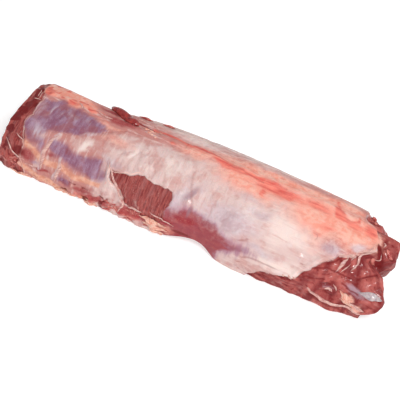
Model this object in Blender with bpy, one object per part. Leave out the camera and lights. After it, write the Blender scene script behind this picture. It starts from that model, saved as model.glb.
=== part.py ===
"""A whole roe deer saddle: both loins on the backbone, with the ribs sawn short.

It lies as on a board, spine up. +X runs from the rib end to the rump end, -Y is the side
with the torn cover, +Z is up, and the origin is at the middle of the footprint.
The meat is one solid that arches over the backbone. The backbone and the ribs are the
bones that show at the cuts, each a solid of its own with a thin gap to the meat.
"""

import bmesh
import bpy
import numpy as np

# Tables and sizes below are in centimetres; CM turns them into metres.
CM = 0.01
GAP = 0.03

# Driving sizes of the saddle
HALF_LENGTH = 21.0
WAIST_HEIGHT = 2.2
SIDE_TURN = np.radians(104)

# Where the middle of the footprint lies in the loft's own coordinates
FOOTPRINT_MIDDLE = (0.246, -0.499)

# The loft's sizes at places along X: (x, size)
RIDGE_HEIGHT = ((-21, 6.5), (-14, 6.5), (-7, 6.75), (0, 6.95), (7, 6.9), (14, 6.75), (19, 6.35), (21, 6.15))
RIDGE_SIDE = ((-21, 0.35), (0, 0.45), (14, 0.5), (21, 0.35))
NEAR_WIDTH = ((-21, 6.2), (-14, 6.2), (-7, 6.35), (-1, 6.4), (2, 6.0), (4.5, 6.65), (9, 7.0), (15, 6.95), (21, 6.6))
FAR_WIDTH = ((-21, 5.1), (-18, 5.0), (-14, 4.65), (-8, 5.8), (0, 6.3), (7, 6.1), (14, 5.8), (19, 5.3), (21, 4.9))
NEAR_LIFT = ((-21, 0), (-2, 0), (0.2, 0.8), (2.2, 0.9), (4.5, 0.1), (6, 0), (21, 0))
FAR_LIFT = ((-21, 0), (0, 0), (2, 0.5), (4, 0.6), (7, 0), (21, 0))
WALL = ((-21, 1.2), (-3, 1.3), (5, 1.9), (21, 2.1))
ARCH_HEIGHT = ((-21, 2.9), (-3, 3.0), (6, 2.7), (21, 2.5))

# Bones
BONE_SIDE = 0.3
BODY_HEIGHT, BODY_RADIUS = 2.35, 1.15
VERTEBRA_PITCH = ((-21, 1.9), (-2.9, 2.3), (5, 3.3), (21, 3.5))
BODY_WAIST = 0.12
BONE_ENDS = (-20.45, 20.3)
NECK_HALF_THICKNESS, SPINE_HALF_THICKNESS = 0.42, 0.22
SPINE_COVER, SPINE_DIP = 0.85, 0.45
RIB_PITCH, RIB_COUNT, LAST_RIB = 1.9, 10, -2.9
RIB_RADIUS = 0.27
RIB_DEPTH = 0.62
RIB_START = 0.24
# How far the cutters that make room for the bones run out past the cuts
PAST_END = 1.5

# Outlines on the unrolled skin: (x, s), where s is measured from the ridge down the near side.
# s is negative on the far side.
BARE_PATCH = ((-9.0, 5.5), (-8.3, 6.0), (-6.0, 5.7), (-5.1, 5.2), (-4.3, 5.6), (-2.6, 5.5), (-1.7, 5.9),
              (-1.4, 7.3), (0.6, 7.1), (2.0, 7.0), (3.6, 7.7), (6.8, 8.7), (4.5, 10.8), (-2.4, 10.8),
              (-2.6, 9.3), (-4.0, 8.7), (-6.2, 8.9), (-7.9, 7.4))
BARE_RUMP = ((7.8, 10.4), (10.0, 9.7), (12.2, 9.2), (13.2, 8.4), (15.0, 7.0), (15.8, 6.0), (17.0, 4.8),
             (17.8, 4.9), (18.7, 3.2), (19.1, 2.1), (18.9, 1.0), (18.6, 0.0), (18.8, -3.0), (24.0, -3.0),
             (24.0, 13.0), (7.8, 13.0))
FAR_PATCH = ((-4.5, -5.8), (-2.0, -5.4), (1.0, -6.0), (3.0, -7.2), (6.5, -8.2), (3.0, -10.8), (-3.0, -10.8),
             (-4.0, -8.2))
FAR_RUMP = ((9.0, -10.4), (12.5, -8.6), (14.6, -6.6), (16.8, -5.0), (18.6, -3.2), (24.0, -3.0), (24.0, -13.0),
            (9.0, -13.0))
PATCH_DEPTH, RUMP_DEPTH, EDGE_WIDTH = 0.2, 0.35, 0.3
# How the bottom edges round, and how far in from them the flat sole starts, as a share of the wall
EDGE_EASE, SOLE_INSET = 0.35, 0.1

# The rump end's reach along X at places round the skin: (s, x)
RUMP_RIM = ((-9, 20.3), (-6, 19.6), (-3, 18.7), (-0.9, 18.8), (-0.3, 20.8), (0.6, 21.2), (2.3, 20.9), (3.0, 19.8),
            (3.6, 18.8), (4.5, 20.2), (6.0, 21.2), (7.6, 21.7), (9.0, 21.1), (10, 19.8))

# Counts of the blocks that the meat and the backbone start from, and the share of faces kept
CUTS_X, CUTS_V, CUTS_W = 110, 72, 7
KEPT_SHARE = 0.165
BONE_SIDES, BONE_STATIONS = 16, 34


def size_at(x, table):
    """A smooth curve through a table's places."""
    places, sizes = np.array(table, float).T
    slope = np.gradient(sizes, places)
    x = np.clip(x, places[0], places[-1])
    i = np.clip(np.searchsorted(places, x, side="right") - 1, 0, len(places) - 2)
    step = places[i + 1] - places[i]
    t = (x - places[i]) / step
    rise = t * t * (3 - 2 * t)
    bend = step * (slope[i] * t * (1 - t) ** 2 - slope[i + 1] * t * t * (1 - t))
    return sizes[i] + rise * (sizes[i + 1] - sizes[i]) + bend


def smooth(low, high, x):
    t = np.clip((x - low) / (high - low), 0, 1)
    return t * t * (3 - 2 * t)


def hump(x, width):
    return np.exp(-((x / width) ** 2))


def above_board(z):
    """Heights eased so that nothing but the sole goes down to the board."""
    return np.where(z < EDGE_EASE, EDGE_EASE * np.exp((z - EDGE_EASE) / EDGE_EASE), z)


def inside(x, s, outline):
    """The distance in from an outline's edge, negative outside it."""
    corners = np.array(outline, float)
    nearest = np.full(x.shape, np.inf)
    odd = np.zeros(x.shape, bool)
    for (ax, ay), (bx, by) in zip(corners, np.roll(corners, -1, 0)):
        t = ((x - ax) * (bx - ax) + (s - ay) * (by - ay)) / ((bx - ax) ** 2 + (by - ay) ** 2)
        t = np.clip(t, 0, 1)
        nearest = np.minimum(nearest, np.hypot(x - ax - t * (bx - ax), s - ay - t * (by - ay)))
        crosses = (ay > s) != (by > s)
        reach = (bx - ax) * (s - ay) / np.where(by == ay, 1, by - ay) + ax
        odd ^= crosses & (x < reach)
    return np.where(odd, nearest, -nearest)


def lift_at(x, side):
    return np.maximum(size_at(x, NEAR_LIFT if side < 0 else FAR_LIFT), 0)


def half_ring(x, side):
    """The outside of one half of the section at x: points from the ridge to the bottom corner."""
    turn = np.linspace(0, SIDE_TURN, 60)
    ridge, ridge_side = size_at(x, RIDGE_HEIGHT), size_at(x, RIDGE_SIDE)
    width = size_at(x, NEAR_WIDTH) + ridge_side if side < 0 else size_at(x, FAR_WIDTH) - ridge_side
    lift = lift_at(x, side)
    cos = np.cos(turn)
    above = WAIST_HEIGHT + (ridge - WAIST_HEIGHT) * np.abs(cos)
    below = lift + (WAIST_HEIGHT - lift) * (1 - cos / np.cos(SIDE_TURN))
    return np.stack([ridge_side + side * width * np.sin(turn), np.where(cos > 0, above, below)], 1)


def along(points, share):
    """Points at shares of a line's length, the square-on direction there, and the length."""
    steps = np.diff(points, axis=0)
    run = np.concatenate([[0], np.cumsum(np.hypot(*steps.T))])
    at = share * run[-1]
    place = np.stack([np.interp(at, run, points[:, 0]), np.interp(at, run, points[:, 1])], 1)
    tangent = np.gradient(points, run, axis=0)
    square = np.stack([np.interp(at, run, tangent[:, 1]), -np.interp(at, run, tangent[:, 0])], 1)
    return place, square / np.hypot(*square.T)[:, None], run[-1]


def rib_places():
    return LAST_RIB - RIB_PITCH * np.arange(RIB_COUNT)[::-1]


def vertebra_phase(x):
    """How many vertebrae lie between the rib end and x."""
    steps = np.linspace(-HALF_LENGTH - 1, HALF_LENGTH + 1, 200)
    count = np.concatenate([[0], np.cumsum(np.diff(steps) / size_at(steps[1:], VERTEBRA_PITCH))])
    return np.interp(x, steps, count)


def skin_relief(x, s):
    """How far the skin stands out from the plain loft."""
    ribs = sum(hump(x - place, 0.42) for place in rib_places())
    down = np.abs(s)
    relief = 0.09 * ribs * smooth(6.2, 7.6, down)
    relief -= 0.18 * hump(down - 7.6, 0.8) * smooth(-8.5, -10.5, x)
    relief += 0.07 * np.sin(0.55 * x + 1.3) * np.sin(0.8 * s + 0.5)
    knobs = 0.5 + 0.5 * np.cos(2 * np.pi * vertebra_phase(x))
    relief += (0.12 * knobs + 0.05) * hump(s + 0.1, 0.5) - 0.07 * hump(down - 1.1, 0.5)
    for outline, depth in ((BARE_PATCH, PATCH_DEPTH), (FAR_PATCH, PATCH_DEPTH),
                           (BARE_RUMP, RUMP_DEPTH), (FAR_RUMP, RUMP_DEPTH)):
        relief -= depth * smooth(-EDGE_WIDTH / 2, EDGE_WIDTH / 2, inside(x, s, outline))
    lip = hump(inside(x, s, BARE_RUMP) + 0.5, 0.45) * smooth(7, 9, x) * smooth(15.5, 13.5, x)
    curtain = hump(inside(x, s, BARE_PATCH) + 0.3, 0.35) * smooth(-6.0, -7.0, x)
    relief += 0.2 * lip + 0.12 * curtain
    relief -= 0.3 * smooth(-19.6, -21.0, x) ** 2
    relief -= 0.9 * hump(s - 3.3, 0.45) * smooth(19.0, 20.2, x)
    relief -= 0.45 * hump(x - 16.6, 1.1) * hump(s - 9.0, 0.5)
    tongue = hump((x + 10.1) * 0.55 - (s + 1.5) * 0.45, 0.4) * smooth(-11.6, -11.0, x) * smooth(-8.6, -9.6, x)
    relief += 0.38 * tongue * smooth(0.2, -0.4, s) * smooth(-3.4, -2.6, s)
    relief -= 0.25 * hump((x + 8.2) * 0.55 - (s + 1.2) * 0.8, 0.4) * hump(x + 8.0, 1.0) * smooth(0, -0.5, s)
    return relief


def arch_relief(x, d):
    """How far the fillets and the ribs hang below the plain arch."""
    fillets = 1.25 * hump(d - 2.35, 1.0) * smooth(-7.0, 2.0, x) * smooth(21.5, 17.0, x)
    ribs = sum(hump(x - place, 0.4) for place in rib_places())
    return fillets + 0.1 * ribs * smooth(1.5, 2.5, d)


def meat_slice(x, v, w):
    """Points of the meat at one place along X. v runs from -1, the near bottom edge, over 0,
    the ridge, to 1; w runs from 0 on the outer skin to 1 on the arch."""
    points, girths = np.zeros((len(v), 2)), np.zeros(len(v))
    for side in (-1, 1):
        half = (v < 0) if side < 0 else (v >= 0)
        share = np.abs(v[half])
        ring = half_ring(x, side)
        skin, outward, length = along(ring, share)
        s = -side * share * length
        skin -= side * outward * skin_relief(np.full_like(s, x), s)[:, None]
        lift = lift_at(x, side)
        turn = share * np.pi / 2
        d = (abs(ring[-1, 0] - BONE_SIDE) - size_at(x, WALL)) * np.sin(turn)
        z = size_at(x, ARCH_HEIGHT) * np.cos(turn) ** 0.8 - arch_relief(x, d) * np.cos(turn) + lift * share ** 3
        arch = np.stack([BONE_SIDE + side * d, z], 1)
        section = skin + (arch - skin) * w[half, None]
        section[:, 1] = above_board(section[:, 1])
        sole = (share > 0.999) & (w[half] > SOLE_INSET) & (w[half] < 1 - SOLE_INSET)
        section[sole, 1] = lift
        points[half] = section
        girths[half] = s
    return points, girths


def end_shift(x, s, w):
    """How far a point moves along X so that the cut ends slope, dome and stand out as they should."""
    dome = np.sqrt(np.clip(1 - (2 * w - 1) ** 2, 0, 1))
    rib_end = 0.45 * np.clip(1 - np.abs(s) / 5.0, 0, 1) * (1 - 0.7 * w) - 0.35 * dome
    rump_end = (size_at(s, RUMP_RIM) - HALF_LENGTH) * (1 - 0.5 * w) + 0.35 * dome - 0.3 * w
    return smooth(-15, -21, x) * rib_end + smooth(16, 21, x) * rump_end


def block(name, cuts_x, cuts_v, cuts_w):
    """A cube of side 2, cut into rows along each of its directions."""
    mesh = bpy.data.meshes.new(name)
    bm = bmesh.new()
    bmesh.ops.create_cube(bm, size=2)
    for axis, cuts in enumerate((cuts_x, cuts_v, cuts_w)):
        running = [e for e in bm.edges if abs(e.verts[0].co[axis] - e.verts[1].co[axis]) > 1]
        bmesh.ops.subdivide_edges(bm, edges=running, cuts=cuts, use_grid_fill=True)
    bm.to_mesh(mesh)
    bm.free()
    return mesh


def place_vertices(mesh, points):
    mesh.vertices.foreach_set("co", np.asarray(points, np.float32).ravel())
    mesh.update()


def coordinates(mesh):
    flat = np.zeros(len(mesh.vertices) * 3, np.float32)
    mesh.vertices.foreach_get("co", flat)
    return flat.reshape(-1, 3).astype(float)


def placed(name, mesh, collection):
    """An object of the mesh, moved so that the footprint's middle is the origin."""
    made = bpy.data.objects.new(name, mesh)
    made.location = (-FOOTPRINT_MIDDLE[0] * CM, -FOOTPRINT_MIDDLE[1] * CM, 0)
    collection.objects.link(made)
    return made


def finished(name, mesh, colour, roughness, collection):
    """An object of the mesh, shaded smooth, with its own material."""
    material = bpy.data.materials.new(name)
    material.use_nodes = True
    shader = material.node_tree.nodes["Principled BSDF"]
    shader.inputs["Base Color"].default_value = (*colour, 1)
    shader.inputs["Roughness"].default_value = roughness
    shader.inputs["Metallic"].default_value = 0
    mesh.materials.append(material)
    mesh.shade_smooth()
    mesh.set_sharp_from_angle(angle=np.radians(50))
    return placed(name, mesh, collection)


def meat_mesh():
    """The block bent over the backbone, row by row along X."""
    mesh = block("meat", CUTS_X, CUTS_V, CUTS_W)
    at = coordinates(mesh)
    v, w = at[:, 1], (1 - np.cos(np.pi * (1 - at[:, 2]) / 2)) / 2
    points = np.zeros_like(at)
    for row in np.unique(np.round(at[:, 0], 5)):
        here = np.abs(at[:, 0] - row) < 1e-4
        x = row * HALF_LENGTH
        section, girths = meat_slice(x, v[here], w[here])
        points[here, 0] = x + end_shift(x, girths, w[here])
        points[here, 1:] = section
    place_vertices(mesh, points * CM)
    return mesh


def backbone_mesh(grow, past_end):
    """Waisted vertebral bodies in a row, under a thin blade of spines that rises towards the ridge."""
    bm = bmesh.new()
    bmesh.ops.create_cone(bm, cap_ends=True, segments=BONE_SIDES, radius1=1, radius2=1, depth=2)
    upright = [e for e in bm.edges if abs(e.verts[0].co.z - e.verts[1].co.z) > 1]
    bmesh.ops.subdivide_edges(bm, edges=upright, cuts=BONE_STATIONS, use_grid_fill=True)
    mesh = bpy.data.meshes.new("backbone")
    bm.to_mesh(mesh)
    bm.free()
    at = coordinates(mesh)
    x = np.interp(at[:, 2], (-1, 1), BONE_ENDS)
    phase = vertebra_phase(x)
    waist = 0.5 + 0.5 * np.cos(2 * np.pi * phase)
    radius = BODY_RADIUS * (1 - BODY_WAIST * waist) + grow
    side, up = at[:, 0] * radius, at[:, 1] * radius
    neck = (at[:, 1] > 0) & (np.abs(at[:, 0]) < 0.8)
    spine = (at[:, 1] > 0) & (np.abs(at[:, 0]) < 0.5)
    side = np.where(neck, np.sign(at[:, 0]) * (NECK_HALF_THICKNESS + grow), side)
    up = np.where(neck, 0.9 * radius, up)
    tip = size_at(x, RIDGE_HEIGHT) - SPINE_COVER - SPINE_DIP * waist + grow
    middle = np.abs(at[:, 0]) < 0.01
    side = np.where(spine, np.sign(at[:, 0]) * (SPINE_HALF_THICKNESS + grow) * ~middle, side)
    up = np.where(spine, tip - BODY_HEIGHT, up)
    x = x + np.where(np.abs(at[:, 2]) > 0.999, np.sign(at[:, 2]), 0) * past_end
    place_vertices(mesh, np.stack([x, BONE_SIDE + side, BODY_HEIGHT + up], 1) * CM)
    bm = bmesh.new()
    bm.from_mesh(mesh)
    bmesh.ops.recalc_face_normals(bm, faces=bm.faces)
    bm.to_mesh(mesh)
    bm.free()
    return mesh


def rib_mesh(name, x, side, grow, past_end):
    """A rib's tube down the middle of the side wall, from beside the backbone to the sawn edge."""
    shares = np.array([RIB_START, 0.4, 0.56, 0.72, 0.84, 0.95, 1.0])
    row, _ = meat_slice(x, side * shares, np.full(len(shares), RIB_DEPTH))
    row[-2, 0] = row[-1, 0]
    row[-1, 1] = GAP - past_end
    curve = bpy.data.curves.new(name, "CURVE")
    curve.dimensions = "3D"
    curve.bevel_depth = (RIB_RADIUS + grow) * CM
    curve.bevel_resolution = 1
    curve.use_fill_caps = True
    spline = curve.splines.new("POLY")
    spline.points.add(len(row) - 1)
    for point, (y, z) in zip(spline.points, row):
        point.co = (x * CM, y * CM, z * CM, 1)
    holder = bpy.data.objects.new(name, curve)
    bpy.context.scene.collection.objects.link(holder)
    bpy.context.view_layer.update()
    mesh = bpy.data.meshes.new_from_object(holder.evaluated_get(bpy.context.evaluated_depsgraph_get()))
    bpy.data.objects.remove(holder)
    bm = bmesh.new()
    bm.from_mesh(mesh)
    bmesh.ops.remove_doubles(bm, verts=bm.verts, dist=1e-5)
    bmesh.ops.recalc_face_normals(bm, faces=bm.faces)
    bm.to_mesh(mesh)
    bm.free()
    return mesh


def cutter(name, mesh, collection):
    made = placed(name, mesh, collection)
    made.hide_render = True
    made.display_type = "WIRE"


def new_collection(name):
    made = bpy.data.collections.new(name)
    bpy.context.scene.collection.children.link(made)
    return made


def main():
    for old in list(bpy.data.objects):
        bpy.data.objects.remove(old)
    saddle = new_collection("roe_deer_saddle")
    cutters = new_collection("bone_cutters")

    cutter("cut_backbone", backbone_mesh(GAP, PAST_END), cutters)
    finished("backbone", backbone_mesh(0, 0), (0.78, 0.62, 0.52), 0.5, saddle)
    for side, side_name in ((-1, "near"), (1, "far")):
        for number, x in enumerate(rib_places(), 1):
            name = f"rib_{side_name}_{number}"
            cutter(f"cut_{name}", rib_mesh(f"cut_{name}", x, side, GAP, PAST_END), cutters)
            finished(name, rib_mesh(name, x, side, 0, 0), (0.8, 0.66, 0.56), 0.5, saddle)

    meat = finished("meat", meat_mesh(), (0.62, 0.27, 0.25), 0.4, saddle)
    fewer = meat.modifiers.new("fewer_faces", "DECIMATE")
    fewer.ratio = KEPT_SHARE
    cut = meat.modifiers.new("room_for_bones", "BOOLEAN")
    cut.operation = "DIFFERENCE"
    cut.operand_type = "COLLECTION"
    cut.collection = cutters
    cut.solver = "EXACT"


main()
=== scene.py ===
# %% [markdown]
# A whole roe deer saddle, raw and on the bone, lying spine up.
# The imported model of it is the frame: every piece made here sits where its solid is.

import bpy
import numpy as np
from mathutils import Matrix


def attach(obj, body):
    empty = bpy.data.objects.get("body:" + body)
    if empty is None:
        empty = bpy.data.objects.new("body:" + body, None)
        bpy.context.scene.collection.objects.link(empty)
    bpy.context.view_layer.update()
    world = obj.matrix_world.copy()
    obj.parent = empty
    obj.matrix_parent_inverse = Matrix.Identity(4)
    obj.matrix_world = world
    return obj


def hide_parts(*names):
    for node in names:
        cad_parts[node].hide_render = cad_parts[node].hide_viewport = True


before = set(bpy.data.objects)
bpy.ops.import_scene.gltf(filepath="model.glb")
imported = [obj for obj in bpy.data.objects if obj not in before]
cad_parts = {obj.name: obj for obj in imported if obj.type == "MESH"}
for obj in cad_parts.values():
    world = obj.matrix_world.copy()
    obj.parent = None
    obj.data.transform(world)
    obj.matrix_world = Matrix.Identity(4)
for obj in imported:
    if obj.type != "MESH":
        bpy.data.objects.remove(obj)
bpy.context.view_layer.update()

# %% [markdown]
# The meat's form is a loft: a row of cross-sections, each an arch of meat over the backbone.
# It could be sculpted by hand, but then its size would be a matter of luck. Short tables of
# sizes along its length keep it true, and a smooth curve through each table gives the rest.
# All tables are in centimetres, because that is how a butcher would measure it.

# %% The saddle's sizes
CM = 0.01
HALF_LENGTH = 21.0
WAIST_HEIGHT = 2.2
SIDE_TURN = np.radians(104)
FOOTPRINT_MIDDLE = (0.246, -0.499)
RIDGE_HEIGHT = ((-21, 6.5), (-14, 6.5), (-7, 6.75), (0, 6.95), (7, 6.9), (14, 6.75), (19, 6.35), (21, 6.15))
RIDGE_SIDE = ((-21, 0.35), (0, 0.45), (14, 0.5), (21, 0.35))
NEAR_WIDTH = ((-21, 6.2), (-14, 6.2), (-7, 6.35), (-1, 6.4), (2, 6.0), (4.5, 6.65), (9, 7.0), (15, 6.95), (21, 6.6))
FAR_WIDTH = ((-21, 5.1), (-18, 5.0), (-14, 4.65), (-8, 5.8), (0, 6.3), (7, 6.1), (14, 5.8), (19, 5.3), (21, 4.9))
NEAR_LIFT = ((-21, 0), (-2, 0), (0.2, 0.8), (2.2, 0.9), (4.5, 0.1), (6, 0), (21, 0))
FAR_LIFT = ((-21, 0), (0, 0), (2, 0.5), (4, 0.6), (7, 0), (21, 0))
WALL = ((-21, 1.2), (-3, 1.3), (5, 1.9), (21, 2.1))
ARCH_HEIGHT = ((-21, 2.9), (-3, 3.0), (6, 2.7), (21, 2.5))
BONE_SIDE = 0.3
RIB_PLACES = -2.9 - 1.9 * np.arange(10)
RUMP_RIM = ((-9, 20.3), (-6, 19.6), (-3, 18.7), (-0.9, 18.8), (-0.3, 20.8), (0.6, 21.2), (1.6, 21.2), (2.7, 21.1),
            (3.1, 20.5), (3.5, 19.9), (3.9, 19.8), (4.7, 20.6), (6.0, 21.2), (7.6, 21.7), (9.0, 21.1), (10, 19.8))


def size_at(x, table):
    """A smooth curve through a table's places."""
    places, sizes = np.array(table, float).T
    slope = np.gradient(sizes, places)
    x = np.clip(x, places[0], places[-1])
    i = np.clip(np.searchsorted(places, x, side="right") - 1, 0, len(places) - 2)
    step = places[i + 1] - places[i]
    t = (x - places[i]) / step
    rise = t * t * (3 - 2 * t)
    bend = step * (slope[i] * t * (1 - t) ** 2 - slope[i + 1] * t * t * (1 - t))
    return sizes[i] + rise * (sizes[i + 1] - sizes[i]) + bend


def smooth(low, high, x):
    t = np.clip((x - low) / (high - low), 0, 1)
    return t * t * (3 - 2 * t)


def hump(x, width):
    return np.exp(-((x / width) ** 2))


print("ribs stand at", RIB_PLACES.round(1), "cm")

# %% [markdown]
# Nothing on a carcass is even, so edges wander and surfaces are lumpy. A grid of random numbers
# with smooth curves between them gives that, at any size of lump: it is the same idea as the
# noise textures of the shader, but here it can move the mesh itself.

# %% Lumps and wandering edges
LUMP_GRID = 64


def lumps(x, s, size, seed):
    """Smooth random numbers from -1 to 1 that change over about one size, in cm."""
    grid = np.random.default_rng(seed).uniform(-1, 1, (LUMP_GRID, LUMP_GRID))
    gx, gs = x / size + 17.3, s / size + 29.1
    ix, js = np.floor(gx).astype(int), np.floor(gs).astype(int)
    fx, fs = gx - ix, gs - js
    fx, fs = fx * fx * (3 - 2 * fx), fs * fs * (3 - 2 * fs)
    ix, js = ix % LUMP_GRID, js % LUMP_GRID
    ix1, js1 = (ix + 1) % LUMP_GRID, (js + 1) % LUMP_GRID
    low = grid[ix, js] * (1 - fx) + grid[ix1, js] * fx
    high = grid[ix, js1] * (1 - fx) + grid[ix1, js1] * fx
    return low * (1 - fs) + high * fs


def turned(x, s, angle):
    """The two coordinates turned, so that lumps can be drawn out along a direction."""
    a = np.radians(angle)
    return x * np.cos(a) + s * np.sin(a), -x * np.sin(a) + s * np.cos(a)


def fibres(x, s, angle, width, length, seed):
    """Lumps drawn out into strands that run at an angle."""
    run, across = turned(x, s, angle)
    return lumps(run * width / length, across, width, seed)


print("lumps repeat after", LUMP_GRID, "sizes")

# %% [markdown]
# Places on the skin are given as if it were unrolled: x along the saddle and s down from the
# ridge, plus on the near side and minus on the far side. A torn edge is then a flat outline, and
# one function tells how far inside it any point is. Streaks and lines are chains of points.

# %% Outlines and lines on the unrolled skin
def inside(x, s, outline):
    """The distance in from an outline's edge, negative outside it."""
    corners = np.array(outline, float)
    nearest = np.full(x.shape, np.inf)
    odd = np.zeros(x.shape, bool)
    for (ax, ay), (bx, by) in zip(corners, np.roll(corners, -1, 0)):
        t = ((x - ax) * (bx - ax) + (s - ay) * (by - ay)) / ((bx - ax) ** 2 + (by - ay) ** 2)
        t = np.clip(t, 0, 1)
        nearest = np.minimum(nearest, np.hypot(x - ax - t * (bx - ax), s - ay - t * (by - ay)))
        crosses = (ay > s) != (by > s)
        reach = (bx - ax) * (s - ay) / np.where(by == ay, 1, by - ay) + ax
        odd = odd ^ (crosses & (x < reach))
    return np.where(odd, nearest, -nearest)


def off_line(x, s, chain):
    """The distance from a chain of points."""
    nearest = np.full(x.shape, np.inf)
    for (ax, ay), (bx, by) in zip(chain, chain[1:]):
        t = ((x - ax) * (bx - ax) + (s - ay) * (by - ay)) / max((bx - ax) ** 2 + (by - ay) ** 2, 1e-9)
        t = np.clip(t, 0, 1)
        nearest = np.minimum(nearest, np.hypot(x - ax - t * (bx - ax), s - ay - t * (by - ay)))
    return nearest


DARK_PATCH = ((-9.0, 5.8), (-7.6, 5.8), (-6.8, 5.7), (-6.1, 5.3), (-5.4, 5.2), (-4.9, 5.5), (-4.2, 5.6), (-3.5, 5.5),
              (-2.6, 5.5), (-2.0, 5.7), (-1.7, 6.1), (-1.6, 6.6), (-1.7, 7.1), (-1.9, 7.6), (-1.9, 8.3), (-2.0, 9.2),
              (-2.8, 9.8), (-3.9, 9.6), (-4.8, 9.3), (-5.7, 9.2), (-6.5, 8.7), (-7.3, 7.8), (-8.1, 7.1), (-8.8, 6.6))
FLANK = ((-1.9, 7.4), (-0.5, 7.1), (0.3, 6.8), (1.3, 6.8), (2.4, 7.2), (3.2, 7.6), (4.2, 7.8), (5.4, 8.0), (6.6, 8.3),
         (8.2, 8.7), (7.4, 9.1), (6.0, 9.2), (4.6, 9.9), (3.4, 12.5), (-2.0, 12.5), (-2.2, 9.0))
RUMP = ((7.8, 12.4), (8.3, 11.0), (9.1, 10.3), (10.0, 9.9), (10.9, 9.5), (12.1, 9.2), (12.7, 9.1), (13.1, 8.3), (14.05, 7.5),
        (14.6, 6.6), (15.05, 6.1), (15.5, 5.6), (16.1, 4.9), (16.8, 4.5), (17.2, 4.4), (17.6, 4.6), (18.2, 3.4),
        (18.7, 2.5), (18.9, 1.9), (19.1, 1.3), (18.9, 0.6), (18.6, 0.3), (18.3, -1.2), (18.4, -2.4), (17.6, -3.4), (17.1, -4.8),
        (16.2, -5.1), (15.4, -6.2), (14.3, -6.6), (13.7, -7.8), (12.3, -8.4), (11.3, -9.3), (9.2, -10.4), (9.0, -12.0), (25.0, -12.0), (25.0, 13.0), (7.8, 13.0))
RIB_END = ((-23.0, -12.0), (-19.7, -12.0), (-19.9, -4.0), (-20.2, -0.6), (-19.7, 0.3), (-19.4, 1.4), (-19.3, 2.9),
           (-19.3, 3.7), (-19.6, 4.1), (-19.3, 4.8), (-19.0, 5.5), (-18.7, 6.2), (-18.6, 7.2), (-18.8, 8.6),
           (-18.2, 9.6), (-17.6, 12.0), (-23.0, 12.0))
FAR_TEAR = ((-8.6, -6.2), (-7.2, -5.7), (-5.6, -5.9), (-4.2, -5.4), (-2.9, -5.8), (-2.4, -6.8), (-2.9, -7.7), (-2.6, -8.6),
            (-4.4, -8.9), (-6.0, -8.6), (-7.4, -7.9), (-8.3, -7.2))
print("outlines drawn:", 5)

# %% [markdown]
# The silverskin and the fat lie over the muscle like torn cloth, a few millimetres thick. Where
# they are torn away the surface steps down to the muscle, whose fibres stand out. The step could
# be a separate sheet of mesh, but one surface that drops at the torn edge has no gaps to hide.

# %% The relief of the skin
COVER_STEP, RUMP_STEP, TORN_EDGE = 0.17, 0.3, 0.1
CREASE = ((-0.9, 2.8), (-0.6, 4.0), (-0.1, 5.2), (0.5, 6.5), (0.7, 7.2))
EYE_FOLD = ((13.7, -1.3), (14.4, -0.2), (15.0, 0.4), (15.7, 0.6), (16.5, 0.2), (16.5, -0.5))
RIDGE_SEAM = ((-6.9, -1.0), (-4.9, -0.8), (-2.3, -0.7), (0.2, -0.5), (3.4, 0.1), (6.0, 0.5))
SWIRLS = (((-7.2, 5.4), (-7.6, 4.6), (-7.4, 3.8), (-6.9, 2.9)), ((-6.0, 5.3), (-6.4, 4.5), (-6.4, 3.5), (-6.1, 2.5)),
          ((-5.1, 5.1), (-5.3, 4.2), (-5.8, 3.0), (-6.4, 2.1)), ((-4.5, 5.3), (-4.8, 4.4), (-4.8, 3.5)), ((-8.9, 4.3), (-8.4, 3.6), (-7.6, 3.1)),
          ((-3.2, 5.0), (-3.4, 4.0), (-3.2, 3.0)), ((-2.0, 5.6), (-2.1, 4.6)), ((2.4, 6.9), (2.2, 5.6), (2.6, 4.6)), ((3.8, 6.6), (4.4, 5.6)))
VEIL_FOLDS = (((-10.2, 5.0), (-9.9, 7.2)), ((-9.6, 4.8), (-9.2, 6.9)), ((-11.5, 2.5), (-11.1, 2.1), (-9.4, 1.0), (-7.7, 0.8)))
SLOT = ((-9.3, -1.3), (-8.3, -1.1), (-7.5, -0.9), (-6.9, -0.6))
LOBE_RIM = ((14.4, 9.6), (15.2, 10.0), (16.0, 10.2), (16.8, 10.3), (17.6, 10.2), (18.8, 9.9), (19.8, 9.7), (20.6, 9.6))
RUMP_CREASE = ((18.3, 6.4), (18.8, 5.9), (19.4, 5.4), (20.6, 4.7))
UNDERCUTS = (((14.2, 7.3), (15.2, 6.7), (16.0, 6.4), (16.9, 6.6), (17.8, 6.5)), ((15.4, 5.9), (16.0, 5.4), (16.3, 5.0)),
             ((13.4, 8.6), (14.6, 8.2), (15.6, 7.9)), ((17.2, 7.4), (18.0, 7.7), (18.9, 7.9)))
CLEFT = ((19.2, 1.5), (19.4, 2.3), (19.9, 2.8), (20.4, 3.1), (20.9, 3.4))


def wander(x, s):
    """The skin's coordinates pushed about a little, so that drawn edges look torn."""
    wx = x + 0.16 * lumps(x, s, 0.9, 11) + 0.07 * lumps(x, s, 0.35, 12)
    ws = s + 0.16 * lumps(x, s, 0.9, 13) + 0.07 * lumps(x, s, 0.35, 14)
    return wx, ws


def between(low, high, x, ease=1.0):
    """1 from low to high and 0 outside, with eased ends."""
    return smooth(low - ease, low, x) * smooth(high + ease, high, x)


def pits(x, s):
    """Where the sawn lower edge of the ribs is pitted, from 0 to 1."""
    rough = lumps(x, s, 0.8, 15) + 0.35 * lumps(x, s, 0.3, 16)
    return smooth(0.1, 0.5, rough) * smooth(8.7, 9.2, s - 0.06 * (x + 10)) * between(-13.4, -8.4, x, 0.6)


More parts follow.
